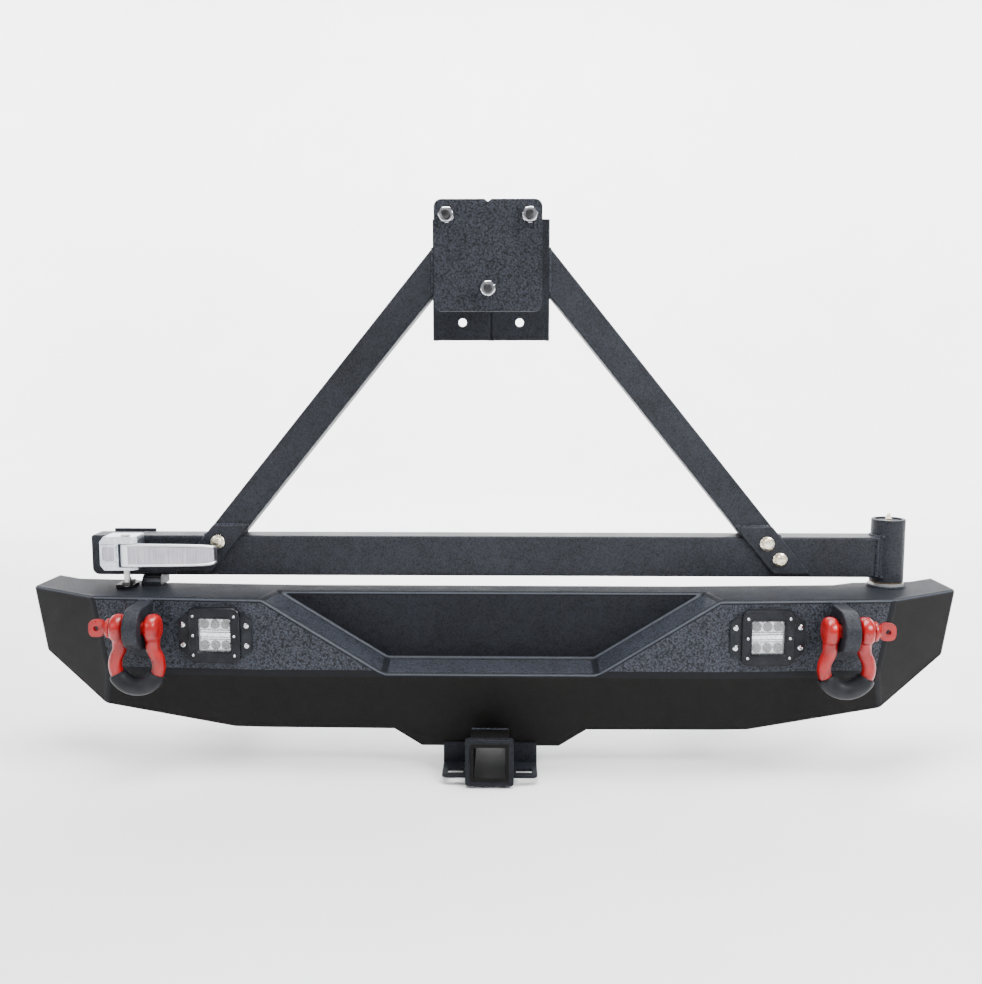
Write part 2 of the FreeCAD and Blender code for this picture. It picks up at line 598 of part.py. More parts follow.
def build_light(name, side):
    """A flush work light: pod with a chamfered flange, bezel, clear lens and six-cup reflector."""
    centre, turn = light_place(side)
    place = at(centre.x, centre.y, centre.z)

    pod = Builder(f"light_housing_{name}", place, turn)
    face = pod.sketch("XZ_Plane")
    wide, high = "dims.flange_wide / 2", "dims.flange_high / 2"
    corners = []
    for a, b in ((1, -1), (1, 1), (-1, 1), (-1, -1)):
        side_end = (f"{a} * {wide}", f"{b} * ({high} - dims.flange_cut_high)")
        top_end = (f"{a} * ({wide} - dims.flange_cut_wide)", f"{b} * {high}")
        corners += [side_end, top_end] if a * b > 0 else [top_end, side_end]
    loop(face, corners)
    centred(face, "dims.lens_wide + 2", "dims.lens_high + 2")
    pod.pad(face, "dims.flange_thick")
    walls = pod.sketch("XZ_Plane")
    centred(walls, "dims.pod_wide", "dims.pod_high")
    centred(walls, "dims.lens_wide + 2", "dims.lens_high + 2")
    pod.pad(walls, "dims.pod_deep - dims.pod_back", back=True)
    rear = pod.sketch("XZ_Plane", "-dims.pod_deep + dims.pod_back")
    centred(rear, "dims.pod_wide", "dims.pod_high")
    pod.pad(rear, "dims.pod_back", back=True)
    gland = pod.sketch("XZ_Plane", "-dims.pod_deep")
    ring(gland, "0", "-dims.pod_high / 4", "dims.gland_radius")
    pod.pad(gland, "dims.gland_long", back=True)

    bezel = Builder(f"light_bezel_{name}", place, turn)
    frame = bezel.sketch("XZ_Plane", "dims.flange_thick")
    centred(frame, "dims.bezel_wide", "dims.bezel_high")
    centred(frame, "dims.lens_wide", "dims.lens_high")
    base = bezel.pad(frame, "dims.bezel_thick")
    bezel.fillet(base, "6", lambda e: abs(e.tangentAt(e.FirstParameter).y) > 0.99
                 and abs(e.CenterOfMass.x) > mm("bezel_wide") / 2 - 1)

    lens = Builder(f"light_lens_{name}", place, turn)
    glass = lens.sketch("XZ_Plane", "dims.flange_thick - dims.lens_thick")
    centred(glass, "dims.lens_wide + 1.6", "dims.lens_high + 1.6")
    lens.pad(glass, "dims.lens_thick")

    cups = []
    pitch = mm("lens_wide") / 3
    face = mm("lens_thick") - mm("flange_thick") + 0.2
    for column in (-1, 0, 1):
        for row in (-1, 1):
            cone = doc.addObject("Part::Cone", f"Cup_{name}_{column + 2}_{row + 2}")
            cone.setExpression("Radius1", "dims.cup_radius")
            cone.setExpression("Radius2", "dims.cup_floor")
            cone.setExpression("Height", "dims.cup_deep")
            spot = V(column * pitch, face, row * mm("cup_row"))
            cone.Placement = FreeCAD.Placement(spot, FreeCAD.Rotation(V(0, 0, 1), V(0, 1, 0)))
            cups.append(cone)
    slab = block(f"Reflector_slab_{name}", V(-mm("lens_wide") / 2, face, -mm("lens_high") / 2),
                 "dims.lens_wide", "dims.reflector_deep", "dims.lens_high")
    reflector = part(f"light_reflector_{name}", cut(f"Reflector_{name}", slab, fuse(f"Cups_{name}", cups)))
    reflector.Placement = FreeCAD.Placement(place, turn)
    return place, turn


def light_screw(name, place, turn, x, z, depth, radius):
    """A low screw head standing on the flange or bezel."""
    spot = place + turn.multVec(V(x, -depth, z))
    return cylinder(name, spot, turn.multVec(V(0, -1, 0)), f"{radius}", "dims.screw_high")


def build_lights():
    heads = []
    for name, side in SIDES.items():
        place, turn = build_light(name, side)
        rim = mm("flange_thick")
        face = rim + mm("bezel_thick")
        for i, (x, z) in enumerate(FLANGE_SCREWS):
            heads.append(light_screw(f"Flange_screw_{name}_{i}", place, turn, x, z, rim, FLANGE_SCREW))
        for i, (x, z) in enumerate(BEZEL_SCREWS):
            heads.append(light_screw(f"Bezel_screw_{name}_{i}", place, turn, x, z, face, BEZEL_SCREW))
    group("light_screws", heads)


build_lights()

# ---------------------------------------------------------------- hinge
HINGE = at(mm("hinge_half"), mm("hinge_back"), 0)


def turned(label, outline):
    """A body turned about +Z from a half section given as (radius, height) expressions."""
    b = Builder(label, HINGE)
    section = b.sketch("XZ_Plane")
    loop(section, outline)
    b.revolve(section)
    return b


def build_hinge():
    base = Builder("hinge_base_plate", HINGE)
    flat = base.sketch("XY_Plane", "-dims.skin - dims.base_plate")
    loop(flat, [("-70", "-80"), ("8", "-80"), ("56", "-48"), ("56", "22"), ("-70", "22")])
    ring(flat, "0", "0", "dims.spindle_radius")
    base.pad(flat, "dims.base_plate")

    shaft, thread = "dims.spindle_radius", "dims.thread_radius"
    foot, rim, ledge = "-dims.skin - dims.base_plate", "dims.barrel_radius + 0.5", "dims.spindle_rim"
    shoulder, tip = "dims.spindle_high", "dims.thread_high"
    lower = [("0", foot), (shaft, foot), (shaft, "0"), (rim, "0"), (rim, ledge), (shaft, ledge)]
    turned("hinge_spindle", lower + [(shaft, shoulder), (thread, shoulder), (thread, tip), ("0", tip)])
    bottom, top = "dims.barrel_foot", "dims.barrel_foot + dims.barrel_high"
    near, far, seat = f"{shaft} + 0.3", "dims.barrel_radius - 0.5", f"{ledge} + dims.running_gap"
    turned("thrust_washer", [(near, seat), (far, seat), (far, bottom), (near, bottom)])
    bore, outer = "dims.barrel_bore", "dims.barrel_radius"
    turned("hinge_barrel", [(bore, bottom), (outer, bottom), (outer, top), (bore, top)])
    for name, low in (("lower", bottom), ("upper", f"{shoulder} - dims.bush_long")):
        inner = f"{shaft} + dims.bush_fit"
        high = f"{low} + dims.bush_long"
        turned(f"hinge_bushing_{name}", [(inner, low), (bore, low), (bore, high), (inner, high)])
    nut = Builder("hinge_nut", HINGE)
    flats = nut.sketch("XY_Plane", f"{shoulder} + 0.4")
    hexagon(flats, "0", "0", "dims.hinge_nut_flats")
    ring(flats, "0", "0", thread)
    nut.pad(flats, "dims.hinge_nut_high")
    low, high, stem = "dims.cap_low", "dims.cap_low + dims.cap_thick", "3"
    turned("hinge_cap", [(stem, low), (bore, low), (bore, high), (stem, high)])
    turned("grease_nipple", [("0", f"{low} + 1"), (stem, f"{low} + 1"), (stem, high), ("6", high),
                             ("6", f"{high} + 5"), ("3.5", f"{high} + 7"), ("3.5", f"{high} + 11"),
                             ("2", f"{high} + 13"), ("0", f"{high} + 13")])


build_hinge()

# ---------------------------------------------------------------- swing arm
LEG_RISE = mm("leg_top_high") - mm("beam_foot") - mm("beam_high")
LEG_RUN = mm("leg_foot_half") - mm("leg_top_half")
LEG_SLOPE = LEG_RUN / LEG_RISE
LEG_BOLT_HEIGHTS = (79, 51)
LATCH_BOLTS = [(x, z) for x in (-655, -613) for z in (52, 78)]


def leg_outer(z):
    """Distance from the middle of a leg's outer edge at height z, in expression form."""
    top, foot = "dims.leg_top_half", "dims.leg_foot_half"
    beam_top = "(dims.beam_foot + dims.beam_high)"
    return f"({foot} + ({beam_top} - ({z})) * ({foot} - {top}) / (dims.leg_top_high - {beam_top}))"


def leg_centre(z):
    """Distance from the middle of a leg's centre line at height z."""
    beam_top = mm("beam_foot") + mm("beam_high")
    outer = mm("leg_foot_half") + (beam_top - z) * LEG_SLOPE
    return outer - mm("leg_wide") / 2 * math.sqrt(1 + LEG_SLOPE ** 2)


def build_beam():
    """The box beam: closed and rounded at its latch end, coped round the hinge barrel at the other."""
    b = Builder("swing_beam_raw", at(0, mm("hinge_back"), 0))
    del PARTS["swing_beam_raw"]
    low, high = "dims.beam_foot", "dims.beam_foot + dims.beam_high"
    outside = b.sketch("XZ_Plane", "-dims.beam_deep / 2")
    box_loop(outside, "-dims.beam_end", "dims.hinge_half - dims.barrel_radius + 14", low, high)
    solid = b.pad(outside, "dims.beam_deep")
    b.fillet(solid, "dims.beam_round", lambda e: abs(e.tangentAt(e.FirstParameter).y) > 0.99
             and e.CenterOfMass.x < 0 and e.CenterOfMass.z < mm("beam_foot") + 1)
    inside = b.sketch("XZ_Plane", "-dims.beam_deep / 2 + dims.beam_wall")
    box_loop(inside, "-dims.beam_end + dims.beam_wall + 8", "dims.hinge_half - dims.barrel_radius + 14",
             f"{low} + dims.beam_wall", f"{high} - dims.beam_wall")
    b.pocket(inside, "dims.beam_deep - 2 * dims.beam_wall", back=True)
    holes = b.sketch("XZ_Plane", "-dims.beam_deep")
    for side in SIDES.values():
        for z in LEG_BOLT_HEIGHTS:
            ring(holes, f"{side * leg_centre(z)}", f"{z}", "dims.bolt_radius + dims.bolt_clear")
    for x, z in LATCH_BOLTS:
        ring(holes, f"{x}", f"{z}", "dims.latch_bolt + dims.bolt_clear")
    b.pocket(holes, "2 * dims.beam_deep", back=True)
    tool = cylinder("Beam_cope", HINGE, V(0, 0, 1), "dims.barrel_radius", "200")
    part("swing_beam", cut("Beam", b.body, tool))


def build_leg(name, side):
    """A square tube leg with the flat foot that bolts to the beam's front."""
    b = Builder(f"leg_{name}", at(0, mm("hinge_back"), 0))
    beam_top = "dims.beam_foot + dims.beam_high"
    run = "(dims.leg_foot_half - dims.leg_top_half)"
    climb = "(dims.leg_top_high - dims.beam_foot - dims.beam_high)"
    slant = f"sqrt(1 + ({run} / {climb}) ^ 2)"
    across = f"dims.leg_wide * {slant}"
    wall = f"dims.leg_wall * {slant}"
    rise = f"{climb} / {run}"
    top_x, top_z = f"{side} * dims.leg_top_half", "dims.leg_top_high"
    tube = b.sketch("XZ_Plane", "-dims.beam_deep / 2")
    loop(tube, [(f"{side} * dims.leg_foot_half", beam_top), (top_x, top_z),
                (top_x, f"{top_z} - {across} * {rise}"),
                (f"{side} * (dims.leg_foot_half - {across})", beam_top)])
    b.pad(tube, "dims.beam_deep")
    core = b.sketch("XZ_Plane", "-dims.beam_deep / 2 + dims.leg_wall")
    loop(core, [(f"{side} * (dims.leg_foot_half - {wall})", beam_top),
                (top_x, f"{top_z} - {wall} * {rise}"),
                (top_x, f"{top_z} - ({across} - {wall}) * {rise}"),
                (f"{side} * (dims.leg_foot_half - {across} + {wall})", beam_top)])
    b.pocket(core, "dims.beam_deep - 2 * dims.leg_wall", back=True)
    foot = b.sketch("XZ_Plane", "dims.beam_deep / 2")
    low, high = "dims.foot_low", "dims.foot_high"
    loop(foot, [(f"{side} * {leg_outer(low)}", low), (f"{side} * {leg_outer(high)}", high),
                (f"{side} * ({leg_outer(high)} - {across})", high),
                (f"{side} * ({leg_outer(low)} - {across})", low)])
    for z in LEG_BOLT_HEIGHTS:
        ring(foot, f"{side * leg_centre(z)}", f"{z}", "dims.bolt_radius + dims.bolt_clear")
    b.pad(foot, "dims.foot_thick")


def build_channel(name, side):
    """Half of the upper bracket: a folded channel that a leg ends in, back to back with its twin."""
    b = Builder(f"mount_channel_{name}", at(0, mm("hinge_back"), 0))
    low, high = "dims.channel_foot", "dims.channel_foot + dims.channel_high"
    face = b.sketch("XZ_Plane", "dims.beam_deep / 2")
    box_loop(face, "0", f"{side} * dims.leg_top_half", low, high)
    for z in CHANNEL_HOLES:
        ring(face, f"{side * MOUNT_BOLT_X}", f"{z}", "dims.bolt_radius + 1")
    base = b.pad(face, "dims.channel_thick")
    front_y = -mm("beam_deep") / 2 - mm("channel_thick")
    b.fillet(base, "4", lambda e: isinstance(e.Curve, Part.Line) and abs(e.tangentAt(0).z) > 0.99
             and e.CenterOfMass.y < front_y + 0.1)
    returns = b.sketch("XY_Plane", low)
    rear = "-dims.beam_deep / 2"
    outer = "dims.leg_top_half - dims.channel_thick"
    for x, deep in ((outer, "dims.beam_deep"), ("0", "dims.channel_deep")):
        box_loop(returns, f"{side} * ({x})", f"{side} * ({x} + dims.channel_thick)", rear, f"{rear} + {deep}")
    b.pad(returns, "dims.channel_high")


MOUNT_BOLT_X = 48
MOUNT_BOLT_HEIGHTS = (522, 575)
CHANNEL_HOLES = (455,) + MOUNT_BOLT_HEIGHTS


def build_mount_arm():
    """A square tube with a back plate, which holds the wheel plate off the frame."""
    face_y = mm("hinge_back") - mm("beam_deep") / 2 - mm("channel_thick")
    b = Builder("mount_arm", at(0, face_y, mm("plate_mid")))
    back = b.sketch("XZ_Plane")
    centred(back, "dims.arm_plate_wide", "dims.arm_plate_high")
    for x in (-MOUNT_BOLT_X, MOUNT_BOLT_X):
        for z in MOUNT_BOLT_HEIGHTS:
            ring(back, f"{x}", f"{z} - dims.plate_mid", "dims.bolt_radius + dims.bolt_clear")
    b.pad(back, "dims.plate_thick")
    tube = b.sketch("XZ_Plane", "dims.plate_thick")
    reach = f"{face_y} + dims.plate_reach - 2 * dims.plate_thick"
    centred(tube, "dims.arm_tube_wide", "dims.arm_tube_high")
    centred(tube, "dims.arm_tube_wide - 2 * dims.arm_wall", "dims.arm_tube_high - 2 * dims.arm_wall")
    b.pad(tube, reach)


def build_tire_plate():
    """The wheel plate with three stud holes and a small notch in its top edge."""
    b = Builder("tire_plate", at(0, -mm("plate_reach") + mm("plate_thick"), mm("plate_mid")))
    face = b.sketch("XZ_Plane")
    wide, high = "dims.plate_wide / 2", "dims.plate_high / 2"
    loop(face, [(f"-{wide}", f"-{high}"), (wide, f"-{high}"), (wide, high), ("5", high), ("0", f"{high} - 4"),
                ("-5", high), (f"-{wide}", high)])
    for x, z in stud_spots():
        ring(face, f"{x}", f"{z} - dims.plate_mid", "dims.stud_knurl")
    base = b.pad(face, "dims.plate_thick")
    b.fillet(base, "dims.plate_round", lambda e: abs(e.tangentAt(e.FirstParameter).y) > 0.99
             and abs(e.CenterOfMass.x) > mm("plate_wide") / 2 - 1)


def stud_spots():
    """The three studs, 120 degrees apart on the wheel's bolt circle, with one at the bottom."""
    radius = mm("stud_circle") / 2
    angles = [math.radians(a) for a in (-90, 30, 150)]
    return [(radius * math.cos(a), mm("stud_mid") + radius * math.sin(a)) for a in angles]


def hex_piece(name, place, flats, depth, radius=None):
    """A hexagon standing along -Y, with a round hole when a radius is given."""
    b = Builder(name, place)
    del PARTS[name]
    sketch = b.sketch("XZ_Plane")
    hexagon(sketch, "0", "0", flats)
    if radius:
        ring(sketch, "0", "0", radius)
    b.pad(sketch, depth)
    return b.body


def build_wheel_studs():
    """Studs pressed into the plate by a knurl, and their nuts. Where a nut grips it, a stud is at its
    thread's pitch diameter, and the free end beyond the nut is at the full diameter."""
    studs, nuts = [], []
    front = -mm("plate_reach")
    grip = mm("lug_rim") + mm("lug_crown")
    for i, (x, z) in enumerate(stud_spots()):
        rear = at(x, front + mm("plate_thick"), z)
        high = mm("stud_head_high")
        head = cylinder(f"Stud_head_{i}", rear + V(0, high, 0), V(0, -1, 0), "dims.stud_head", f"{high}")
        knurl = cylinder(f"Stud_knurl_{i}", rear, V(0, -1, 0), "dims.stud_knurl", "dims.plate_thick")
        gripped = cylinder(f"Stud_gripped_{i}", at(x, front, z), V(0, -1, 0), "dims.stud_pitch", f"{grip}")
        free = cylinder(f"Stud_free_{i}", at(x, front - grip, z), V(0, -1, 0), "dims.stud_radius",
                        f"dims.stud_long - {grip}")
        studs.append(fuse(f"Stud_{i}", [head, knurl, gripped, free]))
        flange = cylinder(f"Nut_flange_{i}", at(x, front, z), V(0, -1, 0), "dims.lug_flange", "dims.lug_rim")
        crown_at = at(x, front - mm("lug_rim"), z)
        crown = hex_piece(f"nut_crown_{i}", crown_at, "dims.lug_flats", "dims.lug_crown")
        bore = "dims.stud_pitch + dims.thread_fit"
        tool = cylinder(f"Nut_bore_{i}", at(x, front + 1, z), V(0, -1, 0), bore, "dims.stud_long")
        nuts.append(cut(f"Nut_{i}", fuse(f"Nut_solid_{i}", [flange, crown]), tool))
    group("wheel_studs", studs)
    group("lug_nuts", nuts)


def bolt_and_nut(name, x, z, head_y, nut_y):
    """A flanged bolt along +Y from head_y, and the flanged nut that starts at nut_y."""
    rim, wide, flats = mm("bolt_rim"), "dims.bolt_flange", "dims.bolt_flats"
    flange = cylinder(name + "_flange", at(x, head_y, z), V(0, -1, 0), wide, "dims.bolt_rim")
    crown = hex_piece(name + "_crown", at(x, head_y - rim, z), flats, "dims.bolt_crown")
    length = f"{nut_y - head_y} + dims.bolt_rim + dims.nut_crown + 2"
    shank = cylinder(name + "_shank", at(x, head_y, z), V(0, 1, 0), "dims.bolt_radius", length)
    bolt = fuse(name + "_bolt", [flange, crown, shank])
    washer = cylinder(name + "_washer", at(x, nut_y, z), V(0, 1, 0), wide, "dims.bolt_rim")
    end_y = nut_y + rim + mm("nut_crown")
    body = hex_piece(name + "_body", at(x, end_y, z), flats, "dims.nut_crown")
    drill = "dims.bolt_radius + dims.thread_fit"
    bore = cylinder(name + "_bore", at(x, nut_y - 1, z), V(0, 1, 0), drill, "20")
    return bolt, cut(name + "_nut", fuse(name + "_nut_solid", [washer, body]), bore)


def build_arm_bolts():
    """The four leg bolts and the four bolts of the mount arm, all alike."""
    beam_front = mm("hinge_back") - mm("beam_deep") / 2
    beam_back = mm("hinge_back") + mm("beam_deep") / 2
    bolts, nuts = [], []
    for name, side in SIDES.items():
        for i, z in enumerate(LEG_BOLT_HEIGHTS):
            head = beam_front - mm("foot_thick")
            pair = bolt_and_nut(f"leg_{name}_{i}", side * leg_centre(z), z, head, beam_back)
            bolts.append(pair[0])
            nuts.append(pair[1])
        for i, z in enumerate(MOUNT_BOLT_HEIGHTS):
            head = beam_front - mm("channel_thick") - mm("plate_thick")
            pair = bolt_and_nut(f"mount_{name}_{i}", side * MOUNT_BOLT_X, z, head, beam_front)
            bolts.append(pair[0])
            nuts.append(pair[1])
    group("arm_bolts", bolts)
    group("arm_nuts", nuts)


build_beam()
for side_name, side_sign in SIDES.items():
    build_leg(side_name, side_sign)
    build_channel(side_name, side_sign)
build_mount_arm()
build_tire_plate()
build_wheel_studs()
build_arm_bolts()

# ---------------------------------------------------------------- latch, striker and rest
LATCH = at(-mm("latch_half"), mm("latch_back"), 0)
HOUSING_BACK = mm("hinge_back") - mm("beam_deep") / 2 - mm("latch_back")
BOLT_DEPTH = 9


def build_latch_housing():
    """The cast latch housing: a block at its closed end, a back plate and two lugs for the lever's pin."""
    b = Builder("latch_housing", LATCH)
    left, right, low, high = "-dims.latch_left", "dims.latch_right", "dims.latch_low", "dims.latch_high"
    face = f"{HOUSING_BACK} - dims.latch_plate"
    back = b.sketch("XZ_Plane", f"-{HOUSING_BACK}")
    slant = f"{left} + dims.latch_cut_wide"
    low_end, high_end = f"{low} + dims.latch_cut_high", f"{high} - dims.latch_cut_high"
    loop(back, [(left, low_end), (slant, low), (right, low), (right, high), (slant, high), (left, high_end)])
    b.pad(back, "dims.latch_plate")
    closed = b.sketch("XZ_Plane", f"-{HOUSING_BACK}")
    edge = f"{left} + dims.latch_block"
    loop(closed, [(left, low_end), (slant, low), (edge, low), (edge, high), (slant, high), (left, high_end)])
    b.pad(closed, f"{HOUSING_BACK} + dims.latch_front")
    for level, thick in ((low, "dims.latch_floor"), (f"{high} - dims.latch_roof", "dims.latch_roof")):
        lug = b.sketch("XY_Plane", level)
        front = "-dims.latch_front"
        loop(lug, [(edge, face), (edge, front), (f"{right} - 8", front), (right, f"{front} + 8"),
                   (right, face)])
        ring(lug, "0", "0", "dims.latch_pin + dims.bush_fit")
        b.pad(lug, thick)
    holes = b.sketch("XZ_Plane", f"-{HOUSING_BACK}")
    for x, z in LATCH_BOLTS:
        ring(holes, f"{x + mm('latch_half')}", f"{z}", "dims.latch_bolt + dims.thread_fit")
    b.pocket(holes, f"{BOLT_DEPTH}", back=True)


def build_latch_lever():
    """The lever: a round hub on the pin and a long flat blade that hooks back at its grip."""
    b = Builder("latch_lever", LATCH)
    level = "dims.latch_low + dims.latch_floor + 1"
    tip = "(dims.latch_half - dims.lever_tip)"
    front, rear = "-dims.latch_front", "(-dims.latch_front + dims.lever_thick)"
    blade = b.sketch("XY_Plane", level)
    loop(blade, [("0", front), (f"{tip} - 12", front), (f"{tip} - 3", f"{front} + 4"),
                 (tip, f"{front} + 14"), (f"{tip} - 7", f"{front} + 16"), (f"{tip} - 16", rear), ("0", rear)])
    b.pad(blade, "dims.lever_high")
    hub = b.sketch("XY_Plane", level)
    ring(hub, "0", "0", "dims.hub_radius")
    b.pad(hub, "dims.lever_high")
    bore = b.sketch("XY_Plane", level)
    ring(bore, "0", "0", "dims.latch_pin + dims.bush_fit")
    b.pocket(bore, "dims.lever_high", back=True)


def build_latch_pin():
    """The pin that turns with the lever and carries the claw under the housing."""
    foot = 7
    top = mm("latch_high") + 0.4
    pin = cylinder("Latch_shaft", LATCH + V(0, 0, foot), V(0, 0, 1), "dims.latch_pin", f"{top - foot}")
    head = cylinder("Latch_head", LATCH + V(0, 0, top), V(0, 0, 1), "dims.latch_pin + 3", "dims.pin_head")
    part("latch_pin", fuse("Latch_pin", [pin, head]))


def build_latch_claw():
    """The claw: a finger along the inner side of the striker's post that turns away with the lever."""
    b = Builder("latch_claw", LATCH)
    shape = b.sketch("XY_Plane", "dims.claw_level")
    loop(shape, [("-7", "-7"), ("7", "-7"), ("7", "10"), ("5", "29"), ("-1", "29"), ("-7", "4")])
    ring(shape, "0", "0", "dims.latch_pin")
    b.pad(shape, "dims.claw_thick")


def build_latch_bolts():
    """Bolts from behind the beam through the backing plate, threaded into the housing."""
    bolts = []
    back = mm("hinge_back") + mm("beam_deep") / 2
    head_y = back + mm("backing_plate") + mm("latch_head")
    end_y = mm("hinge_back") - mm("beam_deep") / 2 - BOLT_DEPTH + 1
    for i, (x, z) in enumerate(LATCH_BOLTS):
        length = f"{head_y - end_y}"
        shank = cylinder(f"Latch_bolt_shank_{i}", at(x, end_y, z), V(0, 1, 0), "dims.latch_bolt", length)
        head = hex_piece(f"latch_bolt_head_{i}", at(x, head_y, z), "dims.latch_flats", "dims.latch_head")
        bolts.append(fuse(f"Latch_bolt_{i}", [shank, head]))
    group("latch_bolts", bolts)
    b = Builder("latch_backing_plate", at(0, back, 0))
    flat = b.sketch("XZ_Plane", "-dims.backing_plate")
    box_loop(flat, "-dims.backing_left", "-dims.backing_right", "dims.latch_low - 10", "dims.latch_high")
    for x, z in LATCH_BOLTS:
        ring(flat, f"{x}", f"{z}", "dims.latch_bolt + dims.bolt_clear")
    b.pad(flat, "dims.backing_plate")


def build_striker():
    """The striker on the shelf: a base with the post that the claw takes hold of."""
    x, y = -mm("striker_half"), mm("striker_back")
    base = block("Striker_base", at(x - 18, y - 10, 0), "31", "30", "dims.striker_base")
    foot = at(x, y, mm("striker_base"))
    post = cylinder("Striker_post", foot, V(0, 0, 1), "dims.striker_radius", "dims.post_high")
    part("striker", fuse("Striker", [base, post]))


def build_rest():
    """The rest for the beam's free end: a ramped steel bracket with a rubber pad on top."""
    b = Builder("rest_bracket", at(-mm("rest_half"), mm("rest_back"), 0))
    ramp = b.sketch("YZ_Plane")
    deep, high, lead = "dims.rest_deep", "dims.rest_high", "dims.rest_ramp"
    loop(ramp, [("0", "0"), (deep, "0"), (deep, high), (lead, high), ("0", f"{high} - {lead}")])
    b.pad(ramp, "dims.rest_wide")
    pad = Builder("rest_pad", at(-mm("rest_half") + 1, mm("rest_back") + mm("rest_ramp"), mm("rest_high")))
    top = pad.sketch("YZ_Plane")
    thick, long = "(dims.beam_foot - dims.rest_high - dims.rest_gap)", "dims.rest_deep - dims.rest_ramp - 1"
    loop(top, [("0", "0"), (long, "0"), (long, thick), ("4", thick), ("0", f"{thick} - 3")])
    pad.pad(top, "dims.rest_wide - 2")


build_latch_housing()
build_latch_lever()
build_latch_pin()
build_latch_claw()
build_latch_bolts()
build_striker()
build_rest()

# ---------------------------------------------------------------- check and write
doc.recompute()
bad = [item.Name for item in doc.Objects if "Invalid" in item.State or "Error" in item.State]
if bad:
    raise RuntimeError(f"objects that failed to build: {bad}")
for label, item in PARTS.items():
    if item.Shape.isNull() or not item.Shape.isValid() or not item.Shape.Solids:
        raise RuntimeError(f"{label} has no valid solid")

os.makedirs("parts", exist_ok=True)
for label, item in PARTS.items():
    item.Shape.exportStep(f"parts/{label}.step")
print(len(PARTS), "sub-parts written")
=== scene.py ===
"""Looks for the swing-away spare tire carrier bumper. Metres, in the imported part's own frame."""
import math

import bmesh
import bpy
from mathutils import Matrix, Vector


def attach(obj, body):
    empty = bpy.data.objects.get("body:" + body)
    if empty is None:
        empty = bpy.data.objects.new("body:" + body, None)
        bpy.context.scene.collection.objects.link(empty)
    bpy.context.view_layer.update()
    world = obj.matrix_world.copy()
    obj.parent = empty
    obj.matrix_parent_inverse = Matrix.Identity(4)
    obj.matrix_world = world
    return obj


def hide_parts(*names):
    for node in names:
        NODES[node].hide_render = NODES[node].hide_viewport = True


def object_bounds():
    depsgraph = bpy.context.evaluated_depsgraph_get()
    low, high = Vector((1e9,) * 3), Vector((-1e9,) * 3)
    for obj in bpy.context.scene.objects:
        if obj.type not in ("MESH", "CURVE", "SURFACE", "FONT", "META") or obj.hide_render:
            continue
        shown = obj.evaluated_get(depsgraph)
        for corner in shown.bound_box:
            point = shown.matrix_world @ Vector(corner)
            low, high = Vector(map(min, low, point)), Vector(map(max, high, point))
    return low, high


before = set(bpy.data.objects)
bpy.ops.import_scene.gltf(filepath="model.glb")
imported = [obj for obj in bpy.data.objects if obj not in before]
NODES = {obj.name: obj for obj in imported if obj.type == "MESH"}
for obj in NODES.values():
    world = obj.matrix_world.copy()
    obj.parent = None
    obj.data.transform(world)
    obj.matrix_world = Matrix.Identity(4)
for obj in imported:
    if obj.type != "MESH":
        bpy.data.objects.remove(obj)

CAD_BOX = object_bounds()
MM = 0.001
DATUM = Vector((0, -0.240, 0.110))      # middle of the bumper's top front edge
SWING, BUMPER, LATCH = "swing_arm", "bumper", "latch"
SIDES = {"left": -1, "right": 1}

# Places that several pieces share, in mm from the datum
ARM_FRONT, ARM_BACK = 101, 151          # front and back faces of the beam and the legs
BEAM_LOW, BEAM_HIGH = 19.5, 89.5        # underside and top of the beam
HINGE_X, HINGE_Y = 690, 126             # axis of the swing hinge
LEVER_X, LEVER_Y = -624, 66             # axis of the latch lever
TAB_X = 575                             # middle of each shackle tab
STUD_CENTRE_Z, STUD_CIRCLE = 566, 69.85     # centre height and radius of the wheel stud circle


def at(x, y, z):
    """A point in mm from the bumper datum, in the object's frame, in metres."""
    return DATUM + Vector((x, y, z)) * MM


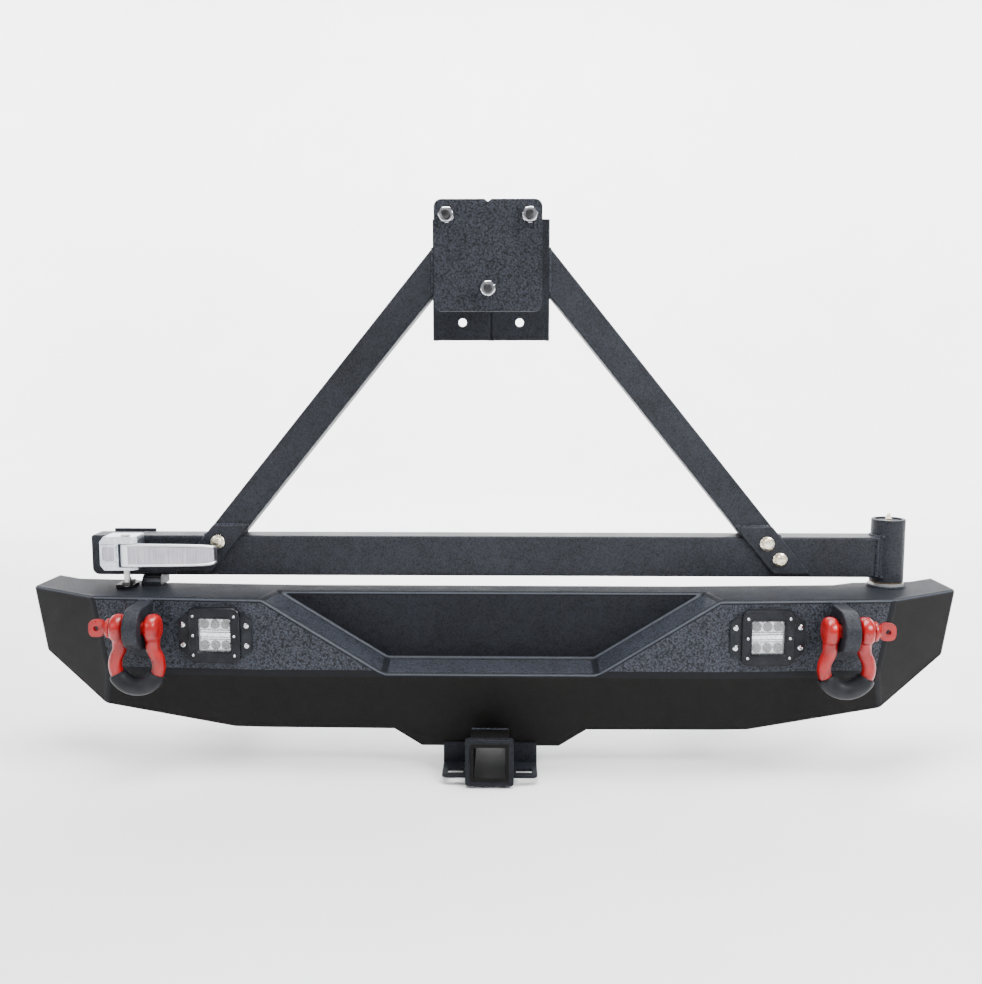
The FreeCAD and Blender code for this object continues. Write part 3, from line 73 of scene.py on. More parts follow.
# ------------------------------------------------------------------ materials
class Nodes:
    """A material with a short way to add and link nodes."""

    def __init__(self, name, rough=0.5, metal=0.0, coat=0.0):
        self.mat = bpy.data.materials.new(name)
        self.mat.use_nodes = True
        self.tree = self.mat.node_tree
        self.shader = self.tree.nodes["Principled BSDF"]
        self.shader.inputs["Roughness"].default_value = rough
        self.shader.inputs["Metallic"].default_value = metal
        self.shader.inputs["Coat Weight"].default_value = coat
        self.coords = self.add("ShaderNodeTexCoord").outputs["Object"]

    def add(self, kind, **values):
        """A new node. Each keyword sets a property of the node, or the socket of that name."""
        node = self.tree.nodes.new(kind)
        for key, value in values.items():
            if hasattr(node, key):
                setattr(node, key, value)
            else:
                node.inputs[key.replace("_", " ")].default_value = value
        return node

    def link(self, a, b):
        self.tree.links.new(a, b)

    def stretched(self, scale):
        """Object coordinates stretched per axis, for grain that runs one way."""
        mapping = self.add("ShaderNodeMapping")
        mapping.inputs["Scale"].default_value = scale
        self.link(self.coords, mapping.inputs["Vector"])
        return mapping.outputs["Vector"]

    def noise(self, scale, detail=4.0, rough=0.5, vector=None):
        node = self.add("ShaderNodeTexNoise", Scale=scale, Detail=detail, Roughness=rough)
        self.link(vector or self.coords, node.inputs["Vector"])
        return node.outputs["Fac"]

    def cells(self, scale):
        node = self.add("ShaderNodeTexVoronoi", Scale=scale)
        self.link(self.coords, node.inputs["Vector"])
        return node.outputs["Distance"]

    def ramp(self, fac, stops):
        """A colour ramp through (place, grey or colour) stops."""
        node = self.add("ShaderNodeValToRGB")
        self.link(fac, node.inputs["Fac"])
        band = node.color_ramp
        while len(band.elements) < len(stops):
            band.elements.new(0.5)
        for element, (place, colour) in zip(band.elements, stops):
            element.position = place
            grey = isinstance(colour, (int, float))
            element.color = (colour, colour, colour, 1) if grey else (*colour, 1)
        return node.outputs["Color"]

    def math(self, kind, a, b):
        """A sum, difference or product of two sockets or numbers."""
        node = self.add("ShaderNodeMath", operation=kind)
        for socket, value in zip(node.inputs, (a, b)):
            if isinstance(value, (int, float)):
                socket.default_value = value
            else:
                self.link(value, socket)
        return node.outputs["Value"]

    def mix(self, a, share, b):
        """A mix of two values, with that share of the first."""
        return self.math("ADD", self.math("MULTIPLY", a, share), self.math("MULTIPLY", b, 1.0 - share))

    def shine(self, level):
        self.shader.inputs["Specular IOR Level"].default_value = level

    def bump(self, height, distance, strength=1.0, under=None):
        node = self.add("ShaderNodeBump", Strength=strength, Distance=distance)
        self.link(height, node.inputs["Height"])
        if under is not None:
            self.link(under, node.inputs["Normal"])
        return node.outputs["Normal"]

    def out(self, colour=None, rough=None, normal=None):
        for name, value in (("Base Color", colour), ("Roughness", rough), ("Normal", normal)):
            if value is not None:
                self.link(value, self.shader.inputs[name])
        return self.mat


def powder_coat(name, dark, light, rough, grain, fleck, depth, shine):
    """Wrinkled powder coat: grains of a few millimetres, with a painted highlight that makes them paler on
    their crests, over slow waves and dust.
    """
    m = Nodes(name)
    m.shine(shine)
    pebbles = m.math("SUBTRACT", 1.0, m.cells(grain * 0.8))
    grains = m.mix(m.noise(grain, 2.0, 0.6), 0.62, pebbles)
    fine = m.noise(1500.0, 3.0, 0.6)
    wave = m.noise(9.0, 5.0, 0.6)
    dust = m.noise(60.0, 4.0, 0.55)
    slow = m.mix(wave, 0.6, dust)
    # The grains that raise the bump also pale the colour: a painted highlight on the crests, over the grain's
    # own random tone
    colour = m.ramp(m.mix(grains, fleck, slow), [(0.36, dark), (0.66, light)])
    gloss = m.ramp(m.mix(wave, 0.6, fine), [(0.3, rough[0]), (0.7, rough[1])])
    first = m.bump(grains, depth, 0.9)
    return m.out(colour, gloss, m.bump(fine, 0.0003, 0.5, first))


def bend_coat():
    """The coat on folded edges, with a painted highlight: paler where an edge turns up towards the sky."""
    m = Nodes("wrinkle_coat_bend")
    m.shine(0.12)
    split = m.add("ShaderNodeSeparateXYZ")
    m.link(m.add("ShaderNodeNewGeometry").outputs["Normal"], split.inputs["Vector"])
    upward = m.ramp(split.outputs["Z"], [(0.22, 0.0), (0.42, 1.0), (0.58, 1.0), (0.82, 0.15)])
    grain = m.noise(420.0, 2.0, 0.6)
    # Painted highlight: the upward-facing strip of each bend is paler, broken up by grain
    painted_highlight = m.math("MULTIPLY", upward, m.math("ADD", m.math("MULTIPLY", grain, 0.7), 0.3))
    colour = m.ramp(painted_highlight, [(0.05, (0.004, 0.0045, 0.006)), (0.75, (0.052, 0.058, 0.071))])
    return m.out(colour, m.ramp(grain, [(0.3, 0.34), (0.7, 0.52)]), m.bump(grain, 0.0010, 0.7))


def enamel(name, deep, bright):
    """Glossy dipped paint on a forging: slow thickness changes and soft orange peel."""
    m = Nodes(name, coat=0.25)
    m.shine(0.35)
    m.shader.inputs["Coat Roughness"].default_value = 0.12
    colour = m.ramp(m.noise(45.0, 3.0), [(0.3, deep), (0.7, bright)])
    rough = m.ramp(m.noise(220.0, 4.0), [(0.3, 0.26), (0.75, 0.42)])
    forge = m.bump(m.noise(70.0, 2.0), 0.0012, 0.5)
    return m.out(colour, rough, m.bump(m.noise(520.0, 2.0), 0.0004, 0.35, forge))


def brushed(name, dark, light, axis):
    """Brushed or ground metal whose fine lines run along one axis."""
    m, rough = Nodes(name, metal=1.0), (0.26, 0.44)
    across, along = 900.0, 14.0
    scale = [across] * 3
    scale[axis] = along
    lines = m.noise(1.0, 4.0, 0.6, m.stretched(scale))
    cloud = m.noise(30.0, 3.0)
    mixed = m.mix(lines, 0.65, cloud)
    colour = m.ramp(mixed, [(0.3, dark), (0.7, light)])
    return m.out(colour, m.ramp(mixed, [(0.3, rough[0]), (0.7, rough[1])]), m.bump(lines, 0.0002, 0.35))


def plated(name, dark, light, rough, clouding=160.0):
    """Smooth plated metal with faint clouding and handling marks."""
    m = Nodes(name, metal=1.0)
    cloud = m.noise(clouding, 4.0, 0.6)
    marks = m.noise(700.0, 3.0)
    colour = m.ramp(cloud, [(0.3, dark), (0.7, light)])
    return m.out(colour, m.ramp(marks, [(0.35, rough[0]), (0.75, rough[1])]), m.bump(marks, 0.00015, 0.25))


def moulded(name, dark, light, rough, grain=900.0, depth=0.0002, coat=0.0, shine=0.16):
    """Rubber or plastic with a fine moulded grain."""
    m = Nodes(name, coat=coat)
    m.shine(shine)
    cloud = m.noise(50.0, 4.0)
    pores = m.noise(grain, 3.0, 0.65)
    colour = m.ramp(cloud, [(0.3, dark), (0.7, light)])
    return m.out(colour, m.ramp(pores, [(0.3, rough[0]), (0.7, rough[1])]), m.bump(pores, depth, 0.5))


def clear_lens():
    """Clear polycarbonate with a faint haze, thin enough to be see-through."""
    m = Nodes("clear_lens")
    m.shader.inputs["Alpha"].default_value = 0.14
    haze = m.noise(300.0, 3.0)
    colour = m.ramp(haze, [(0.3, (0.86, 0.9, 0.95)), (0.7, (1, 1, 1))])
    return m.out(colour, m.ramp(haze, [(0.3, 0.03), (0.7, 0.09)]))


def led_chip():
    """The pale phosphor of an unlit white chip."""
    m = Nodes("led_chip", rough=0.4)
    spots = m.cells(900.0)
    colour = m.ramp(spots, [(0.2, (0.85, 0.72, 0.22)), (0.8, (0.95, 0.9, 0.6))])
    return m.out(colour, None, m.bump(spots, 0.0001, 0.4))


# Coats: darkest and palest colour, roughness range, grain scale, share of grain in the colour, relief, shine
COAT = powder_coat("wrinkle_coat", (0.0010, 0.0012, 0.002), (0.042, 0.048, 0.063),
                   (0.38, 0.56), 380.0, 0.85, 0.0024, 0.2)
COAT_PLATE = powder_coat("wrinkle_coat_plate", (0.0016, 0.0018, 0.0028), (0.026, 0.030, 0.039),
                         (0.40, 0.58), 420.0, 0.8, 0.0016, 0.16)
# Darker copy of the coat: painted shade for parts in shadow, such as the channels under the plate and the
# well's back wall
COAT_SHADE = powder_coat("wrinkle_coat_shade", (0.003, 0.0034, 0.0045), (0.013, 0.015, 0.020),
                         (0.44, 0.6), 400.0, 0.6, 0.0012, 0.12)
# Darker, duller copy of the coat for the bumper's top: painted shade that tones down the lit top faces
COAT_TOP = powder_coat("wrinkle_coat_top", (0.003, 0.0034, 0.0045), (0.020, 0.023, 0.030),
                       (0.5, 0.66), 400.0, 0.6, 0.0012, 0.07)
COAT_ARM = powder_coat("wrinkle_coat_arm", (0.004, 0.0045, 0.006), (0.022, 0.025, 0.033),
                       (0.40, 0.58), 400.0, 0.6, 0.0012, 0.2)
# Darker, warmer copy of the coat with a finer grain; its darkness is painted shade for the down-facing lower
# panel and wings and for parts tucked underneath
COAT_LOW = powder_coat("wrinkle_coat_low", (0.0026, 0.0024, 0.0023), (0.0056, 0.0052, 0.0050),
                       (0.50, 0.64), 500.0, 0.5, 0.0008, 0.1)
COAT_BEND = bend_coat()
RED = enamel("red_enamel", (0.17, 0.0004, 0.0008), (0.32, 0.001, 0.002))

# Metals: darkest and palest colour, then the brushing axis, or the roughness range and the scale of clouding
ALLOY = brushed("brushed_alloy", (0.66, 0.67, 0.70), (0.86, 0.87, 0.90), 2)
ALLOY_FACE = brushed("brushed_alloy_face", (0.22, 0.21, 0.25), (0.60, 0.58, 0.63), 2)
ALLOY_CAST = plated("cast_alloy", (0.50, 0.53, 0.58), (0.72, 0.75, 0.80), (0.26, 0.44))
STEEL = brushed("machined_steel", (0.42, 0.42, 0.43), (0.68, 0.67, 0.66), 0)
ZINC = plated("yellow_zinc", (0.62, 0.52, 0.36), (0.86, 0.80, 0.66), (0.2, 0.4))
CHROME = plated("chrome", (0.42, 0.43, 0.45), (0.70, 0.70, 0.72), (0.06, 0.16))
OXIDE = plated("black_oxide", (0.03, 0.03, 0.032), (0.07, 0.07, 0.072), (0.3, 0.5))
BRONZE = plated("oiled_bronze", (0.10, 0.07, 0.04), (0.20, 0.14, 0.08), (0.3, 0.5))
MIRROR = plated("reflector_silver", (0.46, 0.48, 0.53), (1.0, 1.0, 1.0), (0.08, 0.24), 330.0)
FACETS = plated("reflector_facets", (0.10, 0.11, 0.13), (1.0, 1.0, 1.0), (0.06, 0.2), 420.0)

# Mouldings: darkest and palest colour, roughness range, grain scale and relief, clear coat, shine
RUBBER = moulded("grey_rubber", (0.006, 0.0065, 0.008), (0.014, 0.015, 0.018), (0.36, 0.54))
GLOSS = moulded("gloss_black", (0.004, 0.0045, 0.006), (0.010, 0.011, 0.014),
                (0.16, 0.3), 400.0, 0.00008, 0.03, 0.12)
DIECAST = moulded("black_diecast", (0.006, 0.007, 0.009), (0.014, 0.016, 0.019), (0.34, 0.5), 1300.0)
LENS = clear_lens()
CHIP = led_chip()


# ------------------------------------------------------------------ mesh helpers
def linked(name, mesh, *materials):
    """A new object in the scene, with its materials."""
    obj = bpy.data.objects.new(name, mesh)
    bpy.context.scene.collection.objects.link(obj)
    for material in materials:
        mesh.materials.append(material)
    return obj


def meshed(name, bm):
    """A finished mesh from a bmesh."""
    mesh = bpy.data.meshes.new(name)
    bm.to_mesh(mesh)
    bm.free()
    mesh.shade_smooth()
    return mesh


def round_off(obj, label, width, segments, least, material=-1):
    """Bevels the edges that turn by more than the least angle, in mm and degrees."""
    rounder = obj.modifiers.new(label, "BEVEL")
    rounder.width = width * MM
    rounder.segments = segments
    rounder.limit_method = "ANGLE"
    rounder.angle_limit = math.radians(least)
    rounder.material = material


def piece(name, bm, material, body, replaces=(), smooth=35.0, bevel=0.0):
    """Turns a bmesh into a finished piece that rides on a body, with edges rounded by bevel mm."""
    bmesh.ops.remove_doubles(bm, verts=bm.verts, dist=1e-6)
    bmesh.ops.recalc_face_normals(bm, faces=bm.faces)
    mesh = meshed(name, bm)
    obj = linked(name, mesh, material)
    if bevel:
        round_off(obj, "rounded", bevel, 3, 30)
        if smooth:
            obj.modifiers.new("edges", "WEIGHTED_NORMAL")
    elif smooth:
        mesh.set_sharp_from_angle(angle=math.radians(smooth))
    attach(obj, body)
    if replaces:
        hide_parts(*replaces)
    return obj


def ring_of(centre, across, up, radius, count):
    """Points of a circle spanned by two directions."""
    points = []
    for i in range(count):
        a = 2 * math.pi * i / count
        points.append(centre + across * (radius * math.cos(a)) + up * (radius * math.sin(a)))
    return points


def skin(bm, rings):
    """Joins each ring of corners to the next with a band of faces."""
    for low, high in zip(rings, rings[1:]):
        for i in range(len(low)):
            j = (i + 1) % len(low)
            bm.faces.new((low[i], low[j], high[j], high[i]))


def loft(bm, rings):
    """Skins a list of equal rings of points and closes both ends."""
    made = [[bm.verts.new(p) for p in ring] for ring in rings]
    skin(bm, made)
    bm.faces.new(made[0][::-1])
    bm.faces.new(made[-1])
    return made


def lathe(bm, base, axis, profile, count):
    """A turned form along axis from (radius, height) pairs in mm."""
    axis = axis.normalized()
    across = axis.orthogonal().normalized()
    up = axis.cross(across)
    loft(bm, [ring_of(base + axis * (h * MM), across, up, r * MM, count) for r, h in profile])


def frames(path):
    """Side and up at each point of a path, carried along without twist."""
    result = []
    side = None
    for i in range(len(path)):
        before, after = path[max(i - 1, 0)], path[min(i + 1, len(path) - 1)]
        tangent = (after - before).normalized()
        if side is None:
            side = tangent.orthogonal().normalized()
        side = (side - tangent * side.dot(tangent)).normalized()
        result.append((side, tangent.cross(side)))
    return result


def tube(bm, path, radii, count):
    """A round rod along points, with a radius in metres for each point."""
    loft(bm, [ring_of(p, side, up, r, count) for p, (side, up), r in zip(path, frames(path), radii)])


def smooth_path(points, steps):
    """Catmull-Rom points through the given ones, with steps to each stretch."""
    ends = [points[0] * 2 - points[1]] + list(points) + [points[-1] * 2 - points[-2]]
    path = []
    for a, b, c, d in zip(ends, ends[1:], ends[2:], ends[3:]):
        for i in range(steps):
            t = i / steps
            path.append(0.5 * ((2 * b) + (c - a) * t + (2 * a - 5 * b + 4 * c - d) * t * t
                               + (3 * b - a - 3 * c + d) * t ** 3))
    path.append(points[-1].copy())
    return path


def placed(outline, depth, matrix):
    """An outline of (x, z) mm pairs at a depth, placed by a matrix in metres."""
    return [matrix @ Vector((x * MM, depth * MM, z * MM)) for x, z in outline]


def prism(bm, outline, low, high, matrix):
    """A straight extrusion of (x, z) mm pairs from depth low to high, placed by a matrix in metres."""
    loft(bm, [placed(outline, depth, matrix) for depth in (low, high)])


def rounded_box(wide, high, radius, steps):
    """Outline of a rounded rectangle in mm, anticlockwise."""
    points = []
    for sx, sz, start in ((1, 1, 0), (-1, 1, 90), (-1, -1, 180), (1, -1, 270)):
        for i in range(steps + 1):
            a = math.radians(start + 90 * i / steps)
            x = sx * (wide / 2 - radius) + radius * math.cos(a)
            points.append((x, sz * (high / 2 - radius) + radius * math.sin(a)))
    return points


def stepped(bm, loops, matrix, closed=False):
    """Skins a list of (outline, depth) pairs with equal point counts. Closed joins the last to the first."""
    layers = [[bm.verts.new(p) for p in placed(outline, depth, matrix)] for outline, depth in loops]
    if closed:
        layers.append(layers[0])
    skin(bm, layers)
    return layers


def frame_ring(bm, outer, inner, low, high, matrix):
    """A flat frame between two outlines with the same number of points."""
    stepped(bm, [(outer, low), (outer, high), (inner, high), (inner, low)], matrix, True)


def weld(name, points, radius, body, material=COAT, steps=10):
    """A weld bead: a thin rod along a path whose thickness ripples every few millimetres."""
    path = smooth_path(points, steps)
    length, radii = 0.0, []
    for i, p in enumerate(path):
        if i:
            length += (p - path[i - 1]).length / MM
        ripple = 0.16 * math.sin(length * 1.9) + 0.06 * math.sin(length * 0.7)
        radii.append(radius * MM * (1 + ripple))
    bm = bmesh.new()
    tube(bm, path, radii, 8)
    piece(name, bm, material, body, smooth=0)


def line(a, b, step=3.0):
    """Points from a to b about step mm apart."""
    count = max(2, int((b - a).length / (step * MM)))
    return [a.lerp(b, i / count) for i in range(count + 1)]


# ------------------------------------------------------------------ carried CAD nodes
def pair(stem):
    return [stem + "_left", stem + "_right"]


def dress(names, material, width):
    """Gives CAD nodes their material and softens their edges by width mm."""
    for name in names:
        obj = NODES[name]
        obj.data.materials.clear()
        obj.data.materials.append(material)
        joiner = obj.modifiers.new("joined", "WELD")
        joiner.merge_threshold = 1e-5
        if width:
            round_off(obj, "rounded", width, 2, 35)
            obj.modifiers.new("shading", "WEIGHTED_NORMAL")


# The channels take the shaded coat: a painted shadow of the tire plate above them
dress(pair("mount_channel"), COAT_SHADE, 0)
dress(["mount_arm", "latch_backing_plate", "rest_bracket"], COAT_ARM, 1.2)
dress(["tire_plate"], COAT_PLATE, 1.2)
dress(["hinge_barrel"], COAT_ARM, 1.0)
dress(pair("shackle_tab"), COAT_ARM, 2.5)
# The receiver tube takes the dark coat as painted shade, which also darkens its inside
dress(pair("frame_bracket") + ["crossmember", "receiver_tube"], COAT_LOW, 1.0)
dress(["receiver_collar"], COAT_SHADE, 1.8)
dress(pair("chain_bracket"), COAT_SHADE, 1.0)
dress(["hinge_base_plate"], COAT_LOW, 1.0)
dress(["hinge_spindle", "latch_pin", "hinge_nut"], STEEL, 0.5)
dress(["striker", "latch_claw"], OXIDE, 0.5)
dress(["hinge_bushing_upper", "hinge_bushing_lower", "thrust_washer"], BRONZE, 0.3)
dress(["latch_housing"], ALLOY_CAST, 1.6)
dress(["rest_pad"], RUBBER, 0.8)
dress(pair("light_lens"), LENS, 0.4)


# ------------------------------------------------------------------ bumper skin
BEND_X = 380                            # where each front panel starts to sweep back
SWEEP = 18 / (669 - BEND_X)             # sweep of the front panels, as depth over width
PANEL_Z = -126.0                        # bend between the front panels and the lower panel
TUCK = 0.18                             # slope of the lower panel, as depth over height


def panel_y(x):
    """Depth of the front panel at x."""
    return max(0.0, abs(x) - BEND_X) * SWEEP


def lower(x, z):
    """A point on the lower panel, which leans back below the bend."""
    return Vector((x, panel_y(x) + TUCK * (PANEL_Z - z), z))


def meet(point, normal, start, end):
    """Where the line from start to end crosses the plane through point."""
    step = end - start
    return start + step * ((point - start).dot(normal) / step.dot(normal))


def skin_points():
    """Corners of the right half of the welded shell, in mm from the datum."""
    p = {
        "lip_top": Vector((BEND_X, 0, 0)),
        "lip_foot": Vector((177, 0, PANEL_Z)),
        "bend_foot": Vector((BEND_X, 0, PANEL_Z)),
        "corner": Vector((669, 18, 0)),
        "tip": Vector((802, 100, 0)),
        "tail": Vector((799, 196, 0)),
        "toe": lower(655, PANEL_Z - 62),
        "hem": lower(433, PANEL_Z - 99),
        "hem_bend": lower(BEND_X, PANEL_Z - 99),
        "shoulder": lower(162, PANEL_Z - 100),
        "drop": lower(116, PANEL_Z - 131),
        "well_top": Vector((366, 65, 0)),
        "rear_a": Vector((745, 162, 0)),
        "rear_b": Vector((640, 152, 0)),
        "rear_c": Vector((600, 131, 0)),
        "rear_d": Vector((330, 115, 0)),
    }
    wing = (p["tip"] - p["corner"]).cross(p["toe"] - p["corner"])
    p["corner_foot"] = meet(p["corner"], wing, p["bend_foot"], Vector((669, 18, PANEL_Z)))
    p["heel"] = meet(p["corner"], wing, Vector((700, 101, -113)), Vector((900, 101, -113)))
    ramp = (p["lip_foot"] - p["lip_top"]).cross(p["well_top"] - p["lip_top"])
    p["well_foot"] = meet(p["lip_top"], ramp, Vector((0, 65, PANEL_Z + 9)), Vector((BEND_X, 65, PANEL_Z + 9)))
    end = (p["tail"] - p["tip"]).cross(p["heel"] - p["tip"])
    p["tail_foot"] = meet(p["tip"], end, Vector((700, 196, -72)), Vector((900, 196, -72)))
    return p


def build_skin():
    """The bumper's folded and welded plates as one shell with rounded bends, 4 mm thick inwards."""
    bm = bmesh.new()
    verts = {}
    for name, p in skin_points().items():
        for side in (-1, 1):
            verts[name, side] = bm.verts.new(at(p.x * side, p.y, p.z))

    def face(names, side):
        corners = [verts[n, side] for n in names]
        bm.faces.new(corners if side > 0 else corners[::-1])

    for side in (-1, 1):
        face(("lip_foot", "bend_foot", "lip_top"), side)
        face(("bend_foot", "corner_foot", "corner", "lip_top"), side)
        face(("bend_foot", "hem_bend", "hem", "toe", "corner_foot"), side)
        face(("corner", "corner_foot", "toe", "heel", "tip"), side)
        face(("tip", "heel", "tail_foot", "tail"), side)
        face(("lip_top", "well_top", "well_foot", "lip_foot"), side)
    middle = ("lip_foot", "bend_foot", "hem_bend", "shoulder", "drop")
    bm.faces.new([verts[n, 1] for n in middle] + [verts[n, -1] for n in reversed(middle)])
    bm.faces.new([verts["well_top", 1], verts["well_foot", 1], verts["well_foot", -1], verts["well_top", -1]])
    bm.faces.new([verts["well_foot", 1], verts["lip_foot", 1], verts["lip_foot", -1], verts["well_foot", -1]])
    rim = ("well_top", "lip_top", "corner", "tip", "tail", "rear_a", "rear_b", "rear_c", "rear_d")
    bm.faces.new([verts[n, 1] for n in rim] + [verts[n, -1] for n in reversed(rim)])
    bmesh.ops.recalc_face_normals(bm, faces=bm.faces)
    shelf = max(bm.faces, key=lambda f: f.calc_area())      # its normal tells which way the shell faces
    if shelf.normal.z < 0:
        bmesh.ops.reverse_faces(bm, faces=bm.faces)
    mesh = meshed("bumper_skin", bm)
    coats = [COAT, COAT_LOW, COAT_SHADE, COAT_TOP, COAT_BEND]
    obj = linked("bumper_skin", mesh, *coats)
    bend_z, wing_x, well_y = at(0, 0, PANEL_Z + 12).z, 680 * MM, at(0, 60, 0).y
    # Painted shade by face: the faces below the bend and on the wings take the darker low coat, the well's
    # back wall the shaded coat, and the shelf behind the well the darker top coat
    for poly in mesh.polygons:
        upright = poly.normal.z < 0.5
        outside = abs(poly.center.x) > wing_x
        if upright and (poly.center.z < bend_z or outside):
            poly.material_index = coats.index(COAT_LOW)
        elif poly.center.y > well_y and not outside:
            poly.material_index = coats.index(COAT_SHADE if upright else COAT_TOP)
    # The rounded bends take the bend coat, whose upward strips carry a painted highlight
    round_off(obj, "bends", 6.0, 5, 7, coats.index(COAT_BEND))
    thick = obj.modifiers.new("gauge", "SOLIDIFY")
    thick.thickness = 4 * MM
    thick.offset = -1
    thick.use_even_offset = True
    round_off(obj, "rims", 0.8, 2, 60)
    obj.modifiers.new("shading", "WEIGHTED_NORMAL")
    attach(obj, BUMPER)
    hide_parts("top_shelf", "lower_panel", "recess_tray", *pair("front_panel"), *pair("wing"))


build_skin()


# ------------------------------------------------------------------ shackles
def shackle_spine():
    """The bow's centre line below the pin: necks, reverse bends and crown, in mm."""
    neck, crown_r, bend_r, drop = 27.0, 36.0, 30.0, 61.0
    rise = math.sqrt((crown_r + bend_r) ** 2 - (neck + bend_r) ** 2)
    lean = math.atan2(rise, neck + bend_r)
    half = [(neck, 0.0), (neck, (-drop + rise) * 0.5)]
    for i in range(7):
        a = math.pi + lean * i / 6
        half.append((neck + bend_r + bend_r * math.cos(a), -drop + rise + bend_r * math.sin(a)))
    sweep = lean + math.pi / 2
    for i in range(1, 15):
        a = lean - sweep * i / 14
        half.append((crown_r * math.cos(a), -drop + crown_r * math.sin(a)))
    return half + [(-x, z) for x, z in half[-2::-1]]


def build_shackle(name, side):
    """The forged bow, its rubber sleeve and the screw pin of one shackle."""
    pin = at(side * TAB_X, -40, -40)
    body = "shackle_" + name

    bm = bmesh.new()
    spine = shackle_spine()
    path = smooth_path([pin + Vector((x, 0, z)) * MM for x, z in spine], 3)
    slim, swell, rise = 11.0, 1.6, 30 * MM      # the bow thickens over the last stretch below the eyes
    swell_foot = pin.z - 42 * MM
    radii = [(slim + swell * max(0.0, min(1.0, (p.z - swell_foot) / rise))) * MM for p in path]
    tube(bm, path, radii, 20)
    for hand in (-1, 1):
        centre = pin + Vector((hand * 28, 0, 0)) * MM
        half = [(23.4, 3.5), (22, 7.4), (19, 10.4), (15, 11.8), (10, 12.2)]
        eye = [(r, -h) for r, h in reversed(half)] + half
        lathe(bm, centre, Vector((1, 0, 0)), eye, 36)
    bow = piece("bow_" + name, bm, RED, body, ["shackle_bow_" + name], smooth=0)
    fuse = bow.modifiers.new("forged", "REMESH")
    fuse.mode = "VOXEL"
    fuse.voxel_size = 0.0013
    fuse.use_smooth_shade = True
    soften = bow.modifiers.new("soften", "SMOOTH")
    soften.factor = 0.6
    soften.iterations = 8

    bm = bmesh.new()
    start, steps = math.radians(-24), 26
    crown, drop, ends = 36, 61, (13.2, 15.0, 15.5)
    path, radii = [], []
    for i in range(steps + 1):
        a = start + (-math.pi - 2 * start) * i / steps
        path.append(pin + Vector((crown * math.cos(a), 0, crown * math.sin(a) - drop)) * MM)
        from_end = min(i, steps - i, len(ends) - 1)
        radii.append(ends[from_end] * MM)
    tube(bm, path, radii, 28)
    piece("sleeve_" + name, bm, RUBBER, body, ["shackle_sleeve_" + name], smooth=50)

    bm = bmesh.new()
    out = Vector((side, 0, 0))
    shaft = [(9.6, -40.6), (10.8, -39.6), (11, -38), (11, 40.2), (15.4, 40.4), (16.2, 41.2),
             (16.2, 44.6), (15.2, 46.2), (12.4, 47.4), (10.2, 49.6), (9.4, 52)]
    lathe(bm, pin, out, shaft, 36)
    hub = pin + out * (62.5 * MM)
    steps, power, tall, hole, hole_shift = 40, 3.2, 14.2, 4.2, 1.0
    outer, inner = [], []
    for i in range(steps):
        a = 2 * math.pi * i / steps
        c, s = math.cos(a), math.sin(a)
        wide = 13.5 if c > 0 else 12.0
        r = 1 / ((abs(c) / wide) ** power + (abs(s) / tall) ** power) ** (1 / power)
        outer.append((side * r * c, r * s))
        inner.append((side * (hole * c + hole_shift), hole * s))
    frame_ring(bm, outer, inner, -4.6, 4.6, Matrix.Translation(hub))
    piece("pin_" + name, bm, RED, body, ["shackle_pin_" + name], bevel=1.2)


for side_name, side_sign in SIDES.items():
    build_shackle(side_name, side_sign)


# ------------------------------------------------------------------ lights
def light_matrix(side):
    """Places a light's own (across, depth, up) frame on the front panel."""
    x = side * 457.5
    return Matrix.Translation(at(x, panel_y(x), -61.5)) @ Matrix.Rotation(side * math.atan(SWEEP), 4, "Z")


def square_ring(wide, high, count):
    """A rectangle's outline sampled by angle, so that it pairs with a circle of as many points."""
    points = []
    for i in range(count):
        a = 2 * math.pi * i / count + math.pi / 4
        c, s = math.cos(a), math.sin(a)
        k = 1 / max(abs(c) / (wide / 2), abs(s) / (high / 2))
        points.append((c * k, s * k))
    return points


def shifted(outline, dx, dz):
    return [(x + dx, z + dz) for x, z in outline]


def circle(radius, count):
    """A circle whose points pair with those of square_ring."""
    angles = [2 * math.pi * i / count + math.pi / 4 for i in range(count)]
    return [(radius * math.cos(a), radius * math.sin(a)) for a in angles]


def octagon(wide, high, flat, side):
    """An octagon wide by high in mm, with level edges of length flat and upright edges of length side."""
    quarter = [(wide / 2, side / 2), (flat / 2, high / 2)]
    top = quarter + [(-x, z) for x, z in reversed(quarter)]
    return top + [(x, -z) for x, z in reversed(top)]


LED_SPOTS = [(column, row) for column in (-18, 0, 18) for row in (-17.6, 17.6)]
CUP_FACE = -0.6                         # depth of the reflector's front face


